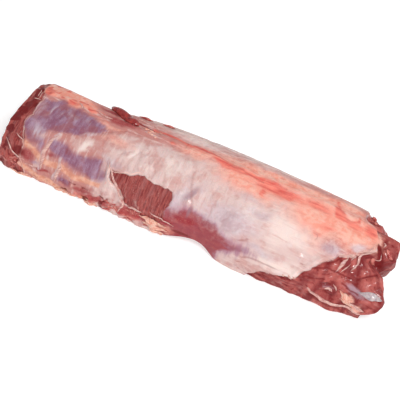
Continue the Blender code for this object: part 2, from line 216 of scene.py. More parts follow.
def folds(x, s):
    """Where the skin is creased, from 0 to 1, for the relief and for the painted shade in the creases. A crease runs
    where drawn-out lumps pass zero.
    """
    _, (patch_in, rump_in, _, _) = bare_depth(x, s)
    covered = smooth(0.0, -0.3, rump_in)
    swirl = hump(fibres(x + 0.3 * s, s, 72, 0.7, 3.4, 26), 0.16) * between(-9.6, -1.2, x) * between(2.4, 5.4, s, 0.8)
    upright = hump(fibres(x, s, 80, 0.9, 4.5, 31), 0.12) * between(-1.5, 3.5, x) * between(3.5, 7.5, s)
    lengthwise = hump(fibres(x, s + 0.05 * x, 4, 0.42, 6.0, 27), 0.07) * between(6.4, 14.0, x) * smooth(6.4, 7.4, s)
    curls = hump(lumps(x, s, 0.6, 32), 0.14) * hump(x - 13.4, 1.1) * hump(s - 4.0, 0.8)
    ridge = hump(fibres(x, s, 6, 0.5, 5.0, 33), 0.12) * between(-14.0, 19.0, x) * hump(s - 0.2, 1.3)
    drawn = [0.38 * hump(off_line(x, s, EYE_FOLD), 0.35), hump(off_line(x, s, RUMP_CREASE), 0.1), 0.9 * hump(off_line(x, s, CLEFT), 0.2),
             0.5 * hump(off_line(x, s, CREASE), 0.3), 0.6 * hump(off_line(x, s, RIDGE_SEAM), 0.1)]
    drawn += [0.6 * hump(off_line(x, s, chain), 0.09) for chain in VEIL_FOLDS]
    drawn += [0.9 * hump(off_line(*wander(x, s), chain), 0.13) for chain in UNDERCUTS]
    wx, ws = wander(x, s)
    drawn += [0.42 * hump(off_line(wx, ws, chain), 0.22) for chain in SWIRLS]
    skin = np.max([0.4 * swirl, 0.25 * upright, 0.6 * lengthwise, 0.6 * curls, 0.5 * ridge], axis=0) * covered
    return np.maximum(skin * smooth(0.0, -0.2, patch_in), np.max(drawn, axis=0))


def bare_depth(x, s):
    """How far inside bare muscle a point is, in cm, and how far inside each tear."""
    wx, ws = wander(x, s)
    tears = [inside(wx, ws, outline) for outline in (DARK_PATCH, RUMP, RIB_END, FAR_TEAR)]
    return np.max(tears, axis=0), tears


def rump_relief(x, s, rump):
    """The muscle bundles, folds and hollows of the bare rump end."""
    bundles = fibres(x, s, -48, 0.7, 3.4, 23) + 0.5 * fibres(x, s, -42, 0.3, 2.6, 24)
    lift = 0.13 * bundles + 0.17 * lumps(x, s, 1.4, 34) + 0.05 * fibres(x, s, -30, 0.5, 1.4, 39)
    lift += 0.2 * hump(off_line(x, s, LOBE_RIM), 0.28) + 0.14 * blob(x, s, 16.7, 5.4, 0.3, 0.8, 14)
    lift -= 0.3 * blob(x, s, 16.0, 8.3, 0.7, 0.3, -30) + 0.22 * blob(x, s, 16.3, 9.5, 0.9, 0.3, 8)
    lift -= 0.3 * hump(off_line(x, s, CLEFT), 0.32) + 0.12 * hump(off_line(x, s, RUMP_CREASE), 0.16)
    lift += 0.18 * blob(x, s, 20.1, 7.3, 0.8, 0.5) + 0.12 * blob(x, s, 18.2, 8.9, 0.9, 0.45, -35)
    return lift * smooth(0, 0.3, rump)


def skin_relief(x, s):
    """How far the skin stands out from the plain loft, in cm."""
    down = np.abs(s)
    bare, (patch_in, rump, rib_end, far_tear) = bare_depth(x, s)
    lift = 0.1 * sum(hump(x - place, 0.42) for place in RIB_PLACES) * smooth(6.2, 7.6, down)
    lift -= 0.18 * hump(down - 7.6, 0.8) * smooth(-8.5, -10.5, x)
    lift += 0.07 * np.sin(0.55 * x + 1.3) * np.sin(0.8 * s + 0.5)
    knobs = 0.5 + 0.5 * np.cos(2 * np.pi * x / np.where(x < -2.9, 1.9, 3.3))
    lift += (0.12 * knobs + 0.05) * hump(s + 0.1, 0.5) - 0.07 * hump(down - 1.1, 0.5)
    lift -= 0.3 * smooth(-19.6, -21.0, x) ** 2
    lift -= 0.4 * hump(s - 3.5, 0.24) * smooth(19.6, 20.6, x)
    for tear, step in ((patch_in, COVER_STEP), (far_tear, COVER_STEP), (rump, RUMP_STEP), (rib_end, 0.08)):
        lift -= step * smooth(-TORN_EDGE, TORN_EDGE, tear)
    lift -= 0.08 * smooth(-0.4, 0.4, inside(x, s, FLANK))
    lift -= 0.2 * pits(x, s)
    lift += 0.16 * hump(rump + 0.35, 0.3) * between(8.5, 15.0, x)
    lift += 0.1 * hump(patch_in + 0.2, 0.2) * smooth(-5.6, -6.6, x)
    strands = fibres(x, s, 70, 0.16, 2.2, 21) + 0.5 * fibres(x, s, 66, 0.35, 2.5, 22)
    lift += 0.028 * strands * smooth(0, 0.25, patch_in)
    lift += rump_relief(x, s, rump)
    lift += (0.12 * lumps(x, s, 0.8, 25) + 0.08 * lumps(x, s, 1.6, 35)) * smooth(0, 0.3, rib_end)
    lift -= 0.075 * folds(x, s)
    lift += 0.035 * lumps(x, s, 1.1, 28) + 0.014 * lumps(x, s, 0.45, 29)
    lift += (0.1 * lumps(x, s, 0.45, 30) + 0.05 * lumps(x, s, 0.22, 38)) * smooth(8.8, 9.4, s) * smooth(-1.0, -2.0, x)
    lift -= 0.3 * hump(off_line(x, s, SLOT), 0.2)
    return lift


def blob(x, s, at_x, at_s, reach_x, reach_s, angle=0):
    a, b = turned(x - at_x, s - at_s, angle)
    return np.exp(-((a / reach_x) ** 2) - (b / reach_s) ** 2)


print("the cover steps down", COVER_STEP, "to", RUMP_STEP, "cm at its torn edges")

# %% [markdown]
# Each cross-section has an outside and an arch below it. Points between the two follow straight
# lines, so a single function gives every point of the meat: its place along, its share of the
# way round and its depth in the wall. The ends dome a little, as cut meat does.

# %% A point anywhere in the meat's wall
EDGE_EASE, SOLE_INSET = 0.35, 0.1
RING_POINTS = 60


def lift_at(x, side):
    return np.maximum(size_at(x, NEAR_LIFT if side < 0 else FAR_LIFT), 0)


def half_ring(x, side):
    """The outside of one half of the section at x, from the ridge to the bottom corner."""
    turn = np.linspace(0, SIDE_TURN, RING_POINTS)
    ridge, ridge_side = size_at(x, RIDGE_HEIGHT), size_at(x, RIDGE_SIDE)
    width = size_at(x, NEAR_WIDTH) + ridge_side if side < 0 else size_at(x, FAR_WIDTH) - ridge_side
    lift = lift_at(x, side)
    cos = np.cos(turn)
    above = WAIST_HEIGHT + (ridge - WAIST_HEIGHT) * np.abs(cos)
    below = lift + (WAIST_HEIGHT - lift) * (1 - cos / np.cos(SIDE_TURN))
    return np.stack([ridge_side + side * width * np.sin(turn), np.where(cos > 0, above, below)], 1)


def along(points, share):
    """Points at shares of a line's length, the square-on direction there, and the length."""
    steps = np.diff(points, axis=0)
    run = np.concatenate([[0], np.cumsum(np.hypot(*steps.T))])
    at = share * run[-1]
    place = np.stack([np.interp(at, run, points[:, 0]), np.interp(at, run, points[:, 1])], 1)
    tangent = np.gradient(points, run, axis=0)
    square = np.stack([np.interp(at, run, tangent[:, 1]), -np.interp(at, run, tangent[:, 0])], 1)
    return place, square / np.hypot(*square.T)[:, None], run[-1]


def arch_relief(x, d):
    """How far the fillets and the ribs hang below the plain arch."""
    fillets = 1.25 * hump(d - 2.35, 1.0) * smooth(-7.0, 2.0, x) * smooth(21.5, 17.0, x)
    ribs = sum(hump(x - place, 0.3) for place in RIB_PLACES)
    return fillets + 0.13 * ribs * smooth(1.2, 2.2, d)


def wall_points(rows, v, depth):
    """Places in cm of a grid of points, with x and s on the unrolled skin for each.
    rows are places along X, v runs from -1 at the near bottom edge to 1 at the far one, and
    depth is 0 on the outer skin and 1 on the arch."""
    shape = (len(rows), len(v))
    section, outward = np.zeros((*shape, 2)), np.zeros((*shape, 2))
    arch, s = np.zeros((*shape, 2)), np.zeros(shape)
    lifts = np.zeros(shape)
    for i, x in enumerate(rows):
        for side in (-1, 1):
            half = np.flatnonzero(v < 0 if side < 0 else v >= 0)
            share = np.abs(v[half])
            ring = half_ring(x, side)
            skin, square, length = along(ring, share)
            lift = lift_at(x, side)
            turn = share * np.pi / 2
            d = (abs(ring[-1, 0] - BONE_SIDE) - size_at(x, WALL)) * np.sin(turn)
            z = size_at(x, ARCH_HEIGHT) * np.cos(turn) ** 0.8 - arch_relief(x, d) * np.cos(turn) + lift * share ** 3
            section[i, half], outward[i, half] = skin, -side * square
            arch[i, half] = np.stack([BONE_SIDE + side * d, z], 1)
            s[i, half], lifts[i, half] = -side * share * length, lift
    x = np.repeat(np.asarray(rows, float)[:, None], len(v), 1)
    section += outward * skin_relief(x, s)[..., None]
    section += (arch - section) * depth[..., None]
    section[..., 1] = np.where(section[..., 1] < EDGE_EASE,
                               EDGE_EASE * np.exp((section[..., 1] - EDGE_EASE) / EDGE_EASE), section[..., 1])
    sole = (np.abs(v)[None] > 0.999) & (depth > SOLE_INSET) & (depth < 1 - SOLE_INSET)
    section[..., 1] = np.where(sole, lifts, section[..., 1])
    dome = np.sqrt(np.clip(1 - (2 * depth - 1) ** 2, 0, 1))
    rib_end = 0.45 * np.clip(1 - np.abs(s) / 5.0, 0, 1) * (1 - 0.7 * depth) - 0.35 * dome
    rump_end = (size_at(s, RUMP_RIM) - HALF_LENGTH) * (1 - 0.5 * depth) + 0.35 * dome - 0.3 * depth
    moved = x + smooth(-15, -21, x) * rib_end + smooth(16, 21, x) * rump_end
    cut = (np.abs(x) > HALF_LENGTH - 0.01) * smooth(0.0, 0.1, depth)
    moved += np.sign(x) * cut * (0.1 * lumps(s, 3 * depth, 0.6, 36) + 0.05 * lumps(s, 3 * depth, 0.25, 37))
    places = np.stack([moved - FOOTPRINT_MIDDLE[0], section[..., 0] - FOOTPRINT_MIDDLE[1], section[..., 1]], -1)
    return places, x, s


print("the skin at the ridge's middle stands", round(float(half_ring(0, -1)[0, 1]), 2), "cm high")

# %% [markdown]
# The cover is a net of rows and columns over the outside, finest on the near side, whose rim
# turns in round the ends and under the soles. At about one millimetre a square it can carry every
# torn edge as real shape. The arch below is a second, coarser net that meets it inside the wall.

# %% The two nets of the meat
NEAR_STEP, FAR_STEP, ROW_STEP = 0.083, 0.2, 0.096
RIM_TURNS = np.array([0.015, 0.05, 0.11, 0.19, 0.3])


def net(name, rows, v, depth):
    """A mesh over a grid of wall points, with its unrolled coordinates kept on it."""
    places, x, s = wall_points(rows, v, depth)
    tall, wide = x.shape
    index = np.arange(tall * wide).reshape(tall, wide)
    quads = np.stack([index[:-1, :-1], index[1:, :-1], index[1:, 1:], index[:-1, 1:]], -1).reshape(-1, 4)
    mesh = bpy.data.meshes.new(name)
    mesh.from_pydata((places.reshape(-1, 3) * CM).tolist(), [], quads.tolist())
    mesh.update()
    mesh.shade_smooth()
    keep(mesh, "skin_x", x)
    keep(mesh, "skin_s", s)
    keep(mesh, "wall_depth", depth)
    piece = bpy.data.objects.new(name, mesh)
    bpy.context.scene.collection.objects.link(piece)
    return piece, places, x, s


def keep(mesh, name, values):
    """Numbers kept on the mesh's points, which the materials read by name."""
    stored = mesh.attributes.new(name, "FLOAT", "POINT")
    stored.data.foreach_set("value", np.asarray(values, np.float32).ravel())


def rim_grid(rows_inner, v_inner, edge_depths, start):
    """Rows, columns and depths of a net whose border turns in through the wall."""
    turns = len(edge_depths)
    rows = np.concatenate([np.full(turns, rows_inner[0]), rows_inner, np.full(turns, rows_inner[-1])])
    v = np.concatenate([np.full(turns, v_inner[0]), v_inner, np.full(turns, v_inner[-1])])
    ramp_r = np.concatenate([edge_depths[::-1], np.full(len(rows_inner), start), edge_depths])
    ramp_v = np.concatenate([edge_depths[::-1], np.full(len(v_inner), start), edge_depths])
    far = np.abs(ramp_r[:, None] - start) > np.abs(ramp_v[None] - start)
    return rows, v, np.where(far, ramp_r[:, None], ramp_v[None])


near_v = -np.linspace(1, 0, int(10.3 / NEAR_STEP))[:-1]
ridge_v = np.linspace(0, 0.36, int(0.36 * 10 / NEAR_STEP))
far_v = np.linspace(0.36, 1, int(0.64 * 10 / FAR_STEP))[1:]
cover_rows = np.linspace(-HALF_LENGTH, HALF_LENGTH, int(2 * HALF_LENGTH / ROW_STEP))
cover, cover_places, cover_x, cover_s = net(
    "cover", *rim_grid(cover_rows, np.concatenate([near_v, ridge_v, far_v]), RIM_TURNS, 0.0))
arch_rows = np.linspace(-HALF_LENGTH, HALF_LENGTH, 260)
under, under_places, under_x, under_s = net(
    "under", *rim_grid(arch_rows, np.linspace(-1, 1, 110), np.linspace(0.985, 0.295, 12), 1.0))
for piece in (cover, under):
    print(piece.name, "has", 2 * len(piece.data.polygons), "triangles")

# %% [markdown]
# A shader is a graph of nodes, and drawing it by hand soon grows unreadable. This small class
# wraps a node's output so that ordinary sums, such as 1 - mask, add their own Math nodes, and
# the Finish below adds any other node in one line.

# %% Shader sums as Python
class Wire:
    """A node's output that can be used in sums as if it were a number."""

    def __init__(self, finish, socket):
        self.finish, self.socket = finish, socket

    def sum(self, operation, first, second):
        return self.finish.node("ShaderNodeMath", {"operation": operation}, {0: first, 1: second})

    def __add__(self, other):
        return self.sum("ADD", self, other)

    def __radd__(self, other):
        return self.sum("ADD", other, self)

    def __sub__(self, other):
        return self.sum("SUBTRACT", self, other)

    def __rsub__(self, other):
        return self.sum("SUBTRACT", other, self)

    def __mul__(self, other):
        return self.sum("MULTIPLY", self, other)

    def __rmul__(self, other):
        return self.sum("MULTIPLY", other, self)


class Finish:
    """A material, with one method that adds any node."""

    def __init__(self, name):
        self.material = bpy.data.materials.new(name)
        self.material.use_nodes = True
        self.tree = self.material.node_tree
        self.shader = self.tree.nodes["Principled BSDF"]

    def node(self, kind, settings=None, values=None, output=0):
        made = self.tree.nodes.new(kind)
        for setting, value in (settings or {}).items():
            setattr(made, setting, value)
        for key, value in (values or {}).items():
            self.put(made.inputs[key], value)
        return Wire(self, made.outputs[output])

    def put(self, socket, value):
        if isinstance(value, Wire):
            self.tree.links.new(value.socket, socket)
        elif isinstance(value, tuple) and len(value) == 3 and socket.type == "RGBA":
            socket.default_value = (*value, 1)
        else:
            socket.default_value = value

    def number(self, name):
        """Numbers kept on the mesh's points."""
        return self.node("ShaderNodeAttribute", {"attribute_name": name}, output="Fac")

    def ramp(self, value, low, high):
        """0 below low, 1 above high, and smooth between."""
        return self.node("ShaderNodeMapRange", {"interpolation_type": "SMOOTHSTEP"},
                         {"Value": value, "From Min": low, "From Max": high})

    def mix(self, amount, first, second):
        return self.node("ShaderNodeMix", {"data_type": "RGBA"}, {0: amount, 6: first, 7: second}, output=2)

    def stretched(self, vector, scale, angle=0.0):
        """A vector turned by an angle about Z, then scaled."""
        return self.node("ShaderNodeMapping", {}, {"Vector": vector, "Rotation": (0, 0, np.radians(angle)),
                                                   "Scale": scale})

    def noise(self, vector, scale, detail=3.0, rough=0.55):
        return self.node("ShaderNodeTexNoise", {}, {"Vector": vector, "Scale": scale, "Detail": detail,
                                                    "Roughness": rough})

    def shape(self, **values):
        """Values or links of the shader itself, by name."""
        for name, value in values.items():
            self.put(self.shader.inputs[name.replace("_", " ")], value)

    def bump(self, height, depth, strength=1.0):
        """Relief finer than the mesh. depth is in metres."""
        self.put(self.shader.inputs["Normal"],
                 self.node("ShaderNodeBump", {}, {"Strength": strength, "Distance": depth, "Height": height}))


print("finishes can now be written as sums")

# %% [markdown]
# Wet meat is light that goes in, scatters and comes out pinker, under a thin film of moisture.
# So every finish has some subsurface scattering and a thin clear coat. These values are the
# same all over, so they are set once on the shader itself.

# %% The colours, and what all wet finishes share
FAT_WHITE = (0.77, 0.56, 0.53)
FAT_CREAM = (0.91, 0.725, 0.675)
PINK_SHADE = (0.60, 0.26, 0.23)
FASCIA_PINK = (0.59, 0.25, 0.225)
LILAC_WHITE = (0.76, 0.64, 0.68)
LILAC_SHADE = (0.52, 0.36, 0.41)
CREASE_SHADE = (0.36, 0.22, 0.26)
FLANK_LILAC = (0.48, 0.24, 0.31)
SILVER_PURPLE = (0.27, 0.10, 0.17)
SILVER_BLUE = (0.45, 0.29, 0.40)
SILVER_BARE = (0.50, 0.31, 0.36)
SILVER_RED = (0.34, 0.09, 0.10)
FAT_ORANGE = (0.96, 0.33, 0.24)
FAT_PEACH = (1.0, 0.53, 0.42)
FAT_TAN = (0.74, 0.30, 0.20)
FAT_STRAW = (0.88, 0.49, 0.36)
BLOOD_RED = (0.72, 0.10, 0.08)
BLOOD_LIGHT = (0.98, 0.28, 0.21)
MUSCLE_RED = (0.25, 0.04, 0.042)
MUSCLE_LIGHT = (0.52, 0.125, 0.11)
FLANK_RED = (0.36, 0.075, 0.09)
DEEP_RED = (0.22, 0.018, 0.02)
# FOLD_SHADE_PINK is painted shade in the creases of the cover.
FOLD_SHADE_PINK = (0.40, 0.13, 0.12)
NUB_RED = (0.48, 0.06, 0.05)
SCRAP_RED = (0.42, 0.05, 0.05)
SCRAP_PINK = (0.70, 0.24, 0.20)
LINE_WHITE = (0.88, 0.57, 0.51)
# FAR_SHADE_GREY and FAR_BEIGE colour the strip just over the ridge on the far side: beige fat darkened by painted shade
# where that side turns away.
FAR_SHADE_GREY = (0.50, 0.33, 0.30)
RAW_RED = (0.34, 0.035, 0.045)
FAR_BEIGE = (0.90, 0.68, 0.60)
BONE_PALE = (0.80, 0.60, 0.50)
SCATTER_REACH = (0.004, 0.0015, 0.001)


def moisten(finish, scatter=0.15, coat_rough=0.1):
    finish.shape(Subsurface_Weight=scatter, Subsurface_Radius=SCATTER_REACH, Subsurface_Scale=1.0,
                 Specular_IOR_Level=0.12, Coat_Roughness=coat_rough, IOR=1.4)


print("muscle", MUSCLE_RED, "under fat", FAT_WHITE)

# %% [markdown]
# On the real saddle the colour tells the anatomy: purple where muscle shows through silverskin,
# orange and red where fat lies along the ridge, white over the loin. A painted texture would be
# one way. Here each tone has a strength at every point of the net, worked out from outlines,
# lines and soft blobs on the unrolled skin, and the shader does the fine grain.

# %% Where each tone lies on the skin
UPPER_SILVER = ((-19.3, 0.9), (-18.7, 0.9), (-17.3, 0.2), (-16.2, 0.8), (-15.2, 0.4), (-13.3, 0.7), (-11.9, 1.3), (-11.3, 2.0),
                (-12.8, 3.4), (-14.6, 4.0), (-16.4, 4.3), (-17.3, 5.6), (-18.3, 5.9), (-19.2, 5.0), (-19.3, 2.9))
LOWER_SILVER = ((-15.9, 5.2), (-14.6, 5.2), (-13.3, 5.6), (-12.4, 5.4), (-11.2, 5.5), (-10.1, 5.5), (-9.9, 6.4),
                (-9.7, 7.3), (-10.6, 7.5), (-11.6, 7.3), (-12.6, 7.2), (-13.8, 7.0), (-15.0, 6.9), (-15.8, 6.3))
SIDE_SILVER = ((-18.2, 5.3), (-17.0, 5.0), (-16.4, 5.6), (-16.5, 7.0), (-17.2, 6.5), (-18.2, 6.0))
RIDGE_FAT = ((-20.4, -6.0), (-20.3, 0.2), (-19.2, 0.4), (-17.4, 0.0), (-16.4, 0.6), (-15.2, 0.2), (-13.4, 0.2), (-14.2, -1.8), (-17.0, -4.0))
RIB_BANDS = (((-15.4, 4.4), (-15.8, 5.1), (-16.0, 5.8), (-16.2, 6.6), (-16.1, 7.6), (-16.1, 8.8)),
             ((-14.3, 7.0), (-14.1, 7.8), (-14.2, 8.6), (-14.4, 9.7)))
FAT_LINE = ((-18.4, 6.4), (-17.5, 6.9), (-16.3, 7.6), (-15.2, 7.8), (-13.8, 7.8), (-12.2, 7.9), (-10.8, 8.0), (-9.5, 8.1))
FINE_LINES = (((-20.3, -0.2), (-20.2, 1.0)), ((-20.1, 0.2), (-19.9, 1.1)), ((-19.8, 0.3), (-19.6, 1.1)), ((-20.5, 1.1), (-19.7, 0.7)),
              ((-19.9, 5.2), (-19.4, 5.9), (-19.0, 6.4)), ((-20.1, 6.1), (-19.5, 6.2), (-19.1, 5.5)), ((-20.7, 7.2), (-19.8, 7.8), (-19.5, 8.2), (-18.8, 8.5), (-17.6, 8.4)),
              ((-17.8, 8.9), (-17.1, 9.0), (-16.5, 9.1)), ((-15.3, 9.2), (-14.2, 9.6), (-13.6, 9.6)), ((-16.6, 4.4), (-15.6, 4.1), (-14.4, 4.1)),
              ((-2.7, 8.9), (-1.6, 9.0), (-0.6, 9.2)), ((-5.8, 9.2), (-5.0, 9.1), (-4.4, 9.2)),
              ((-6.8, -1.2), (-4.6, -1.1), (-2.0, -1.0), (0.6, -0.5), (3.4, -0.2)))


def patch(x, s, outline, soft):
    return smooth(-soft, soft, inside(x, s, outline))


def streak(x, s, chain, half_width, soft):
    return 1 - smooth(half_width - soft, half_width + soft, off_line(x, s, chain))


def most(*strengths):
    return np.clip(np.max(strengths, axis=0), 0, 1)


def blobs(x, s, rows):
    """The strongest of several soft blobs. Each row: strength, place x and s, reach x and s, angle."""
    return np.max([row[0] * blob(x, s, *row[1:]) for row in rows], axis=0)


PALE = ((0.65, -12.2, 4.3, 2.0, 1.0, -20), (0.9, -2.5, -2.2, 4.8, 1.3, 4), (0.7, 5.5, -2.4, 5.0, 1.2, 4), (0.8, -12.3, 4.5, 0.9, 0.5, -45), (0.6, -17.4, 4.8, 0.9, 0.5), (0.5, -9.2, 3.2, 1.4, 0.8))
CREAM = ((0.5, -2.5, -2.4, 3.5, 0.8, 4), (1.0, 15.4, -0.1, 0.55, 0.3, 20), (1.0, 10.5, 5.0, 2.8, 1.7), (0.95, 11.0, 8.6, 3.6, 0.7), (0.9, -3.2, 3.2, 1.3, 1.4),
         (0.9, -7.4, 3.7, 0.35, 1.2, 12), (1.0, -12.3, 4.5, 0.85, 0.45, -45), (0.6, -5.6, 4.6, 1.0, 0.6), (0.7, 6.2, 4.6, 1.4, 1.6))
LILAC = ((1.1, 4.4, 6.2, 3.6, 1.7), (0.8, 7.0, 4.4, 1.8, 0.8), (0.9, -1.0, 6.2, 0.9, 2.0, 20), (0.8, -9.0, 5.0, 1.6, 0.45), (0.9, 8.2, 7.9, 2.6, 0.45),
         (1.2, 15.2, 4.8, 1.3, 0.75), (1.1, 17.6, 3.3, 1.0, 0.6), (0.9, -9.7, 6.2, 0.35, 1.2), (0.6, 5.4, 3.2, 2.4, 0.7, 12),
         (0.8, 18.6, -1.4, 0.9, 1.2), (0.6, 0.6, 4.2, 0.7, 1.4))
VEIL = ((0.75, -17.6, 5.0, 1.1, 0.8), (0.6, -18.9, 2.6, 0.5, 1.6), (0.6, -17.6, 2.2, 0.25, 1.5, 16), (0.45, -16.2, 1.6, 0.2, 1.2, 16),
        (0.95, -12.4, 3.0, 1.0, 0.3, -34), (0.5, -15.2, 1.6, 0.8, 0.5), (0.4, -13.4, 1.5, 0.7, 0.4))
ORANGE = ((1.2, 5.0, 1.1, 4.6, 1.9, 8), (1.2, 12.6, 1.6, 4.4, 2.6, 6), (1.2, 16.3, 1.6, 3.0, 2.6), (1.1, 18.0, 1.2, 1.2, 1.5), (0.8, -1.5, 0.2, 3.0, 0.9, 4),
          (1.15, 8.5, -0.8, 9.5, 1.3), (0.5, 13.4, 4.4, 1.6, 2.2), (0.6, -9.5, 2.8, 2.2, 0.7), (0.9, -16.0, -1.6, 2.6, 1.2), (0.9, 15.0, -1.6, 3.0, 1.0), (0.9, 18.3, 8.9, 0.9, 0.5, -35),
          (0.7, -1.8, 10.2, 1.2, 0.8), (0.8, 19.6, 9.3, 1.2, 0.4), (0.7, -11.6, 1.2, 2.0, 0.5, 10))
RED = ((1.6, -19.5, -0.2, 0.6, 0.6), (1.0, -16.3, 0.0, 0.6, 0.7, 30), (0.7, -13.6, -0.3, 1.4, 0.4), (0.8, -4.6, 0.4, 0.6, 0.35),
       (1.3, 7.9, 0.9, 2.6, 0.9, 4), (0.9, 6.7, 1.9, 0.4, 0.8), (1.0, 1.6, -0.1, 4.0, 0.6, 6), (0.6, 13.2, 3.6, 0.7, 0.5), (0.6, 14.2, 2.6, 1.4, 0.4), (1.3, 14.6, 0.2, 1.3, 0.6, 35),
       (0.9, 16.3, 0.9, 1.0, 0.5), (1.2, 15.5, 0.7, 0.9, 0.4), (1.0, 17.9, 0.7, 0.9, 0.8), (0.8, 12.0, 0.8, 2.4, 0.6), (0.9, -20.0, 9.0, 1.6, 1.2), (0.9, -20.9, 5.0, 0.35, 3.0),
       (1.2, -5.6, 9.9, 2.2, 0.8), (0.8, -10.0, 10.2, 3.0, 0.6), (0.7, -3.6, 8.9, 1.6, 0.4, 8), (0.7, -8.7, 7.5, 0.12, 0.35), (0.5, -12.0, -1.0, 2.0, 0.5), (0.6, -16.0, 9.0, 0.9, 0.3))


RAW = ((1.0, -10.6, 0.0, 2.2, 0.6, 5), (1.1, -9.6, 10.1, 2.0, 0.5, 8), (0.6, -10.6, 8.9, 1.2, 0.5), (0.7, -19.0, 10.4, 1.2, 0.6), (0.5, -19.4, 0.1, 0.4, 0.35), (0.35, 6.0, 9.8, 1.5, 0.4), (0.5, -8.8, 8.8, 0.9, 0.6), (1.0, -17.9, 7.7, 0.9, 0.9), (0.8, -18.8, 6.3, 0.5, 0.8), (0.9, -15.8, 8.9, 1.2, 0.35), (0.9, -13.2, 9.1, 1.0, 0.4),
       (0.9, -11.2, 9.4, 1.6, 0.4, 4), (0.8, -9.4, 9.9, 1.4, 0.4), (0.9, -12.2, -1.6, 1.8, 0.6), (0.6, -16.9, 0.5, 1.0, 0.25),
       (0.8, -15.3, 6.9, 0.8, 0.3), (1.3, -4.4, 9.6, 2.8, 0.9), (1.1, -2.4, 9.0, 1.8, 0.6), (0.8, -19.4, 8.8, 0.8, 0.5), (1.0, 0.2, 8.0, 1.5, 0.45, 8),
       (0.8, -20.2, 9.5, 1.0, 0.8), (0.5, 7.6, 10.6, 1.8, 0.35), (0.9, -20.3, 10.0, 1.4, 0.7), (0.6, -3.4, 10.6, 1.4, 0.4), (0.7, -9.2, -2.6, 1.4, 0.6), (0.9, -0.2, 10.4, 1.0, 0.5))
SHADE = ((1.0, -0.1, 5.3, 0.45, 1.5, 14), (0.8, 0.4, 6.9, 0.3, 0.9, 14), (0.5, -1.0, 3.9, 0.5, 1.2, 20),
         (0.5, -8.2, 3.6, 1.1, 0.4, 30), (0.5, -9.0, 5.2, 1.4, 0.35), (0.45, -3.9, 4.6, 0.25, 1.0), (0.45, 1.9, 4.3, 0.3, 1.4, 10),
         (0.4, 4.6, 7.0, 0.25, 1.0, -30), (0.5, -13.4, 3.6, 1.2, 0.3, 5), (0.4, -10.3, 3.4, 0.25, 1.4), (0.35, 8.6, 6.0, 1.6, 0.3, 20), (0.3, 5.8, 9.8, 1.8, 0.6))
FAR_SHIFT = 1.1
SOFT_TONES = ("pale", "cream", "raw", "shade", "lilac", "silver", "veil", "orange", "red", "flank")


def tone_strengths(x, s):
    """A strength from 0 to 1 for each tone at each point. Lower down on the far side the soft
    tones repeat the near side's, moved along a little, as the two sides of an animal do."""
    tones, other = near_tones(x, s), near_tones(x + FAR_SHIFT, -s)
    down = smooth(-2.2, -4.0, s + 0.5 * lumps(x, s, 1.5, 44))
    for tone in SOFT_TONES:
        tones[tone] = tones[tone] * (1 - down) + other[tone] * down
    # The far strip's painted shade fades out lower down the far side.
    tones["grey"] = tones["grey"] * (1 - 0.9 * smooth(-2.8, -4.6, s))
    return tones


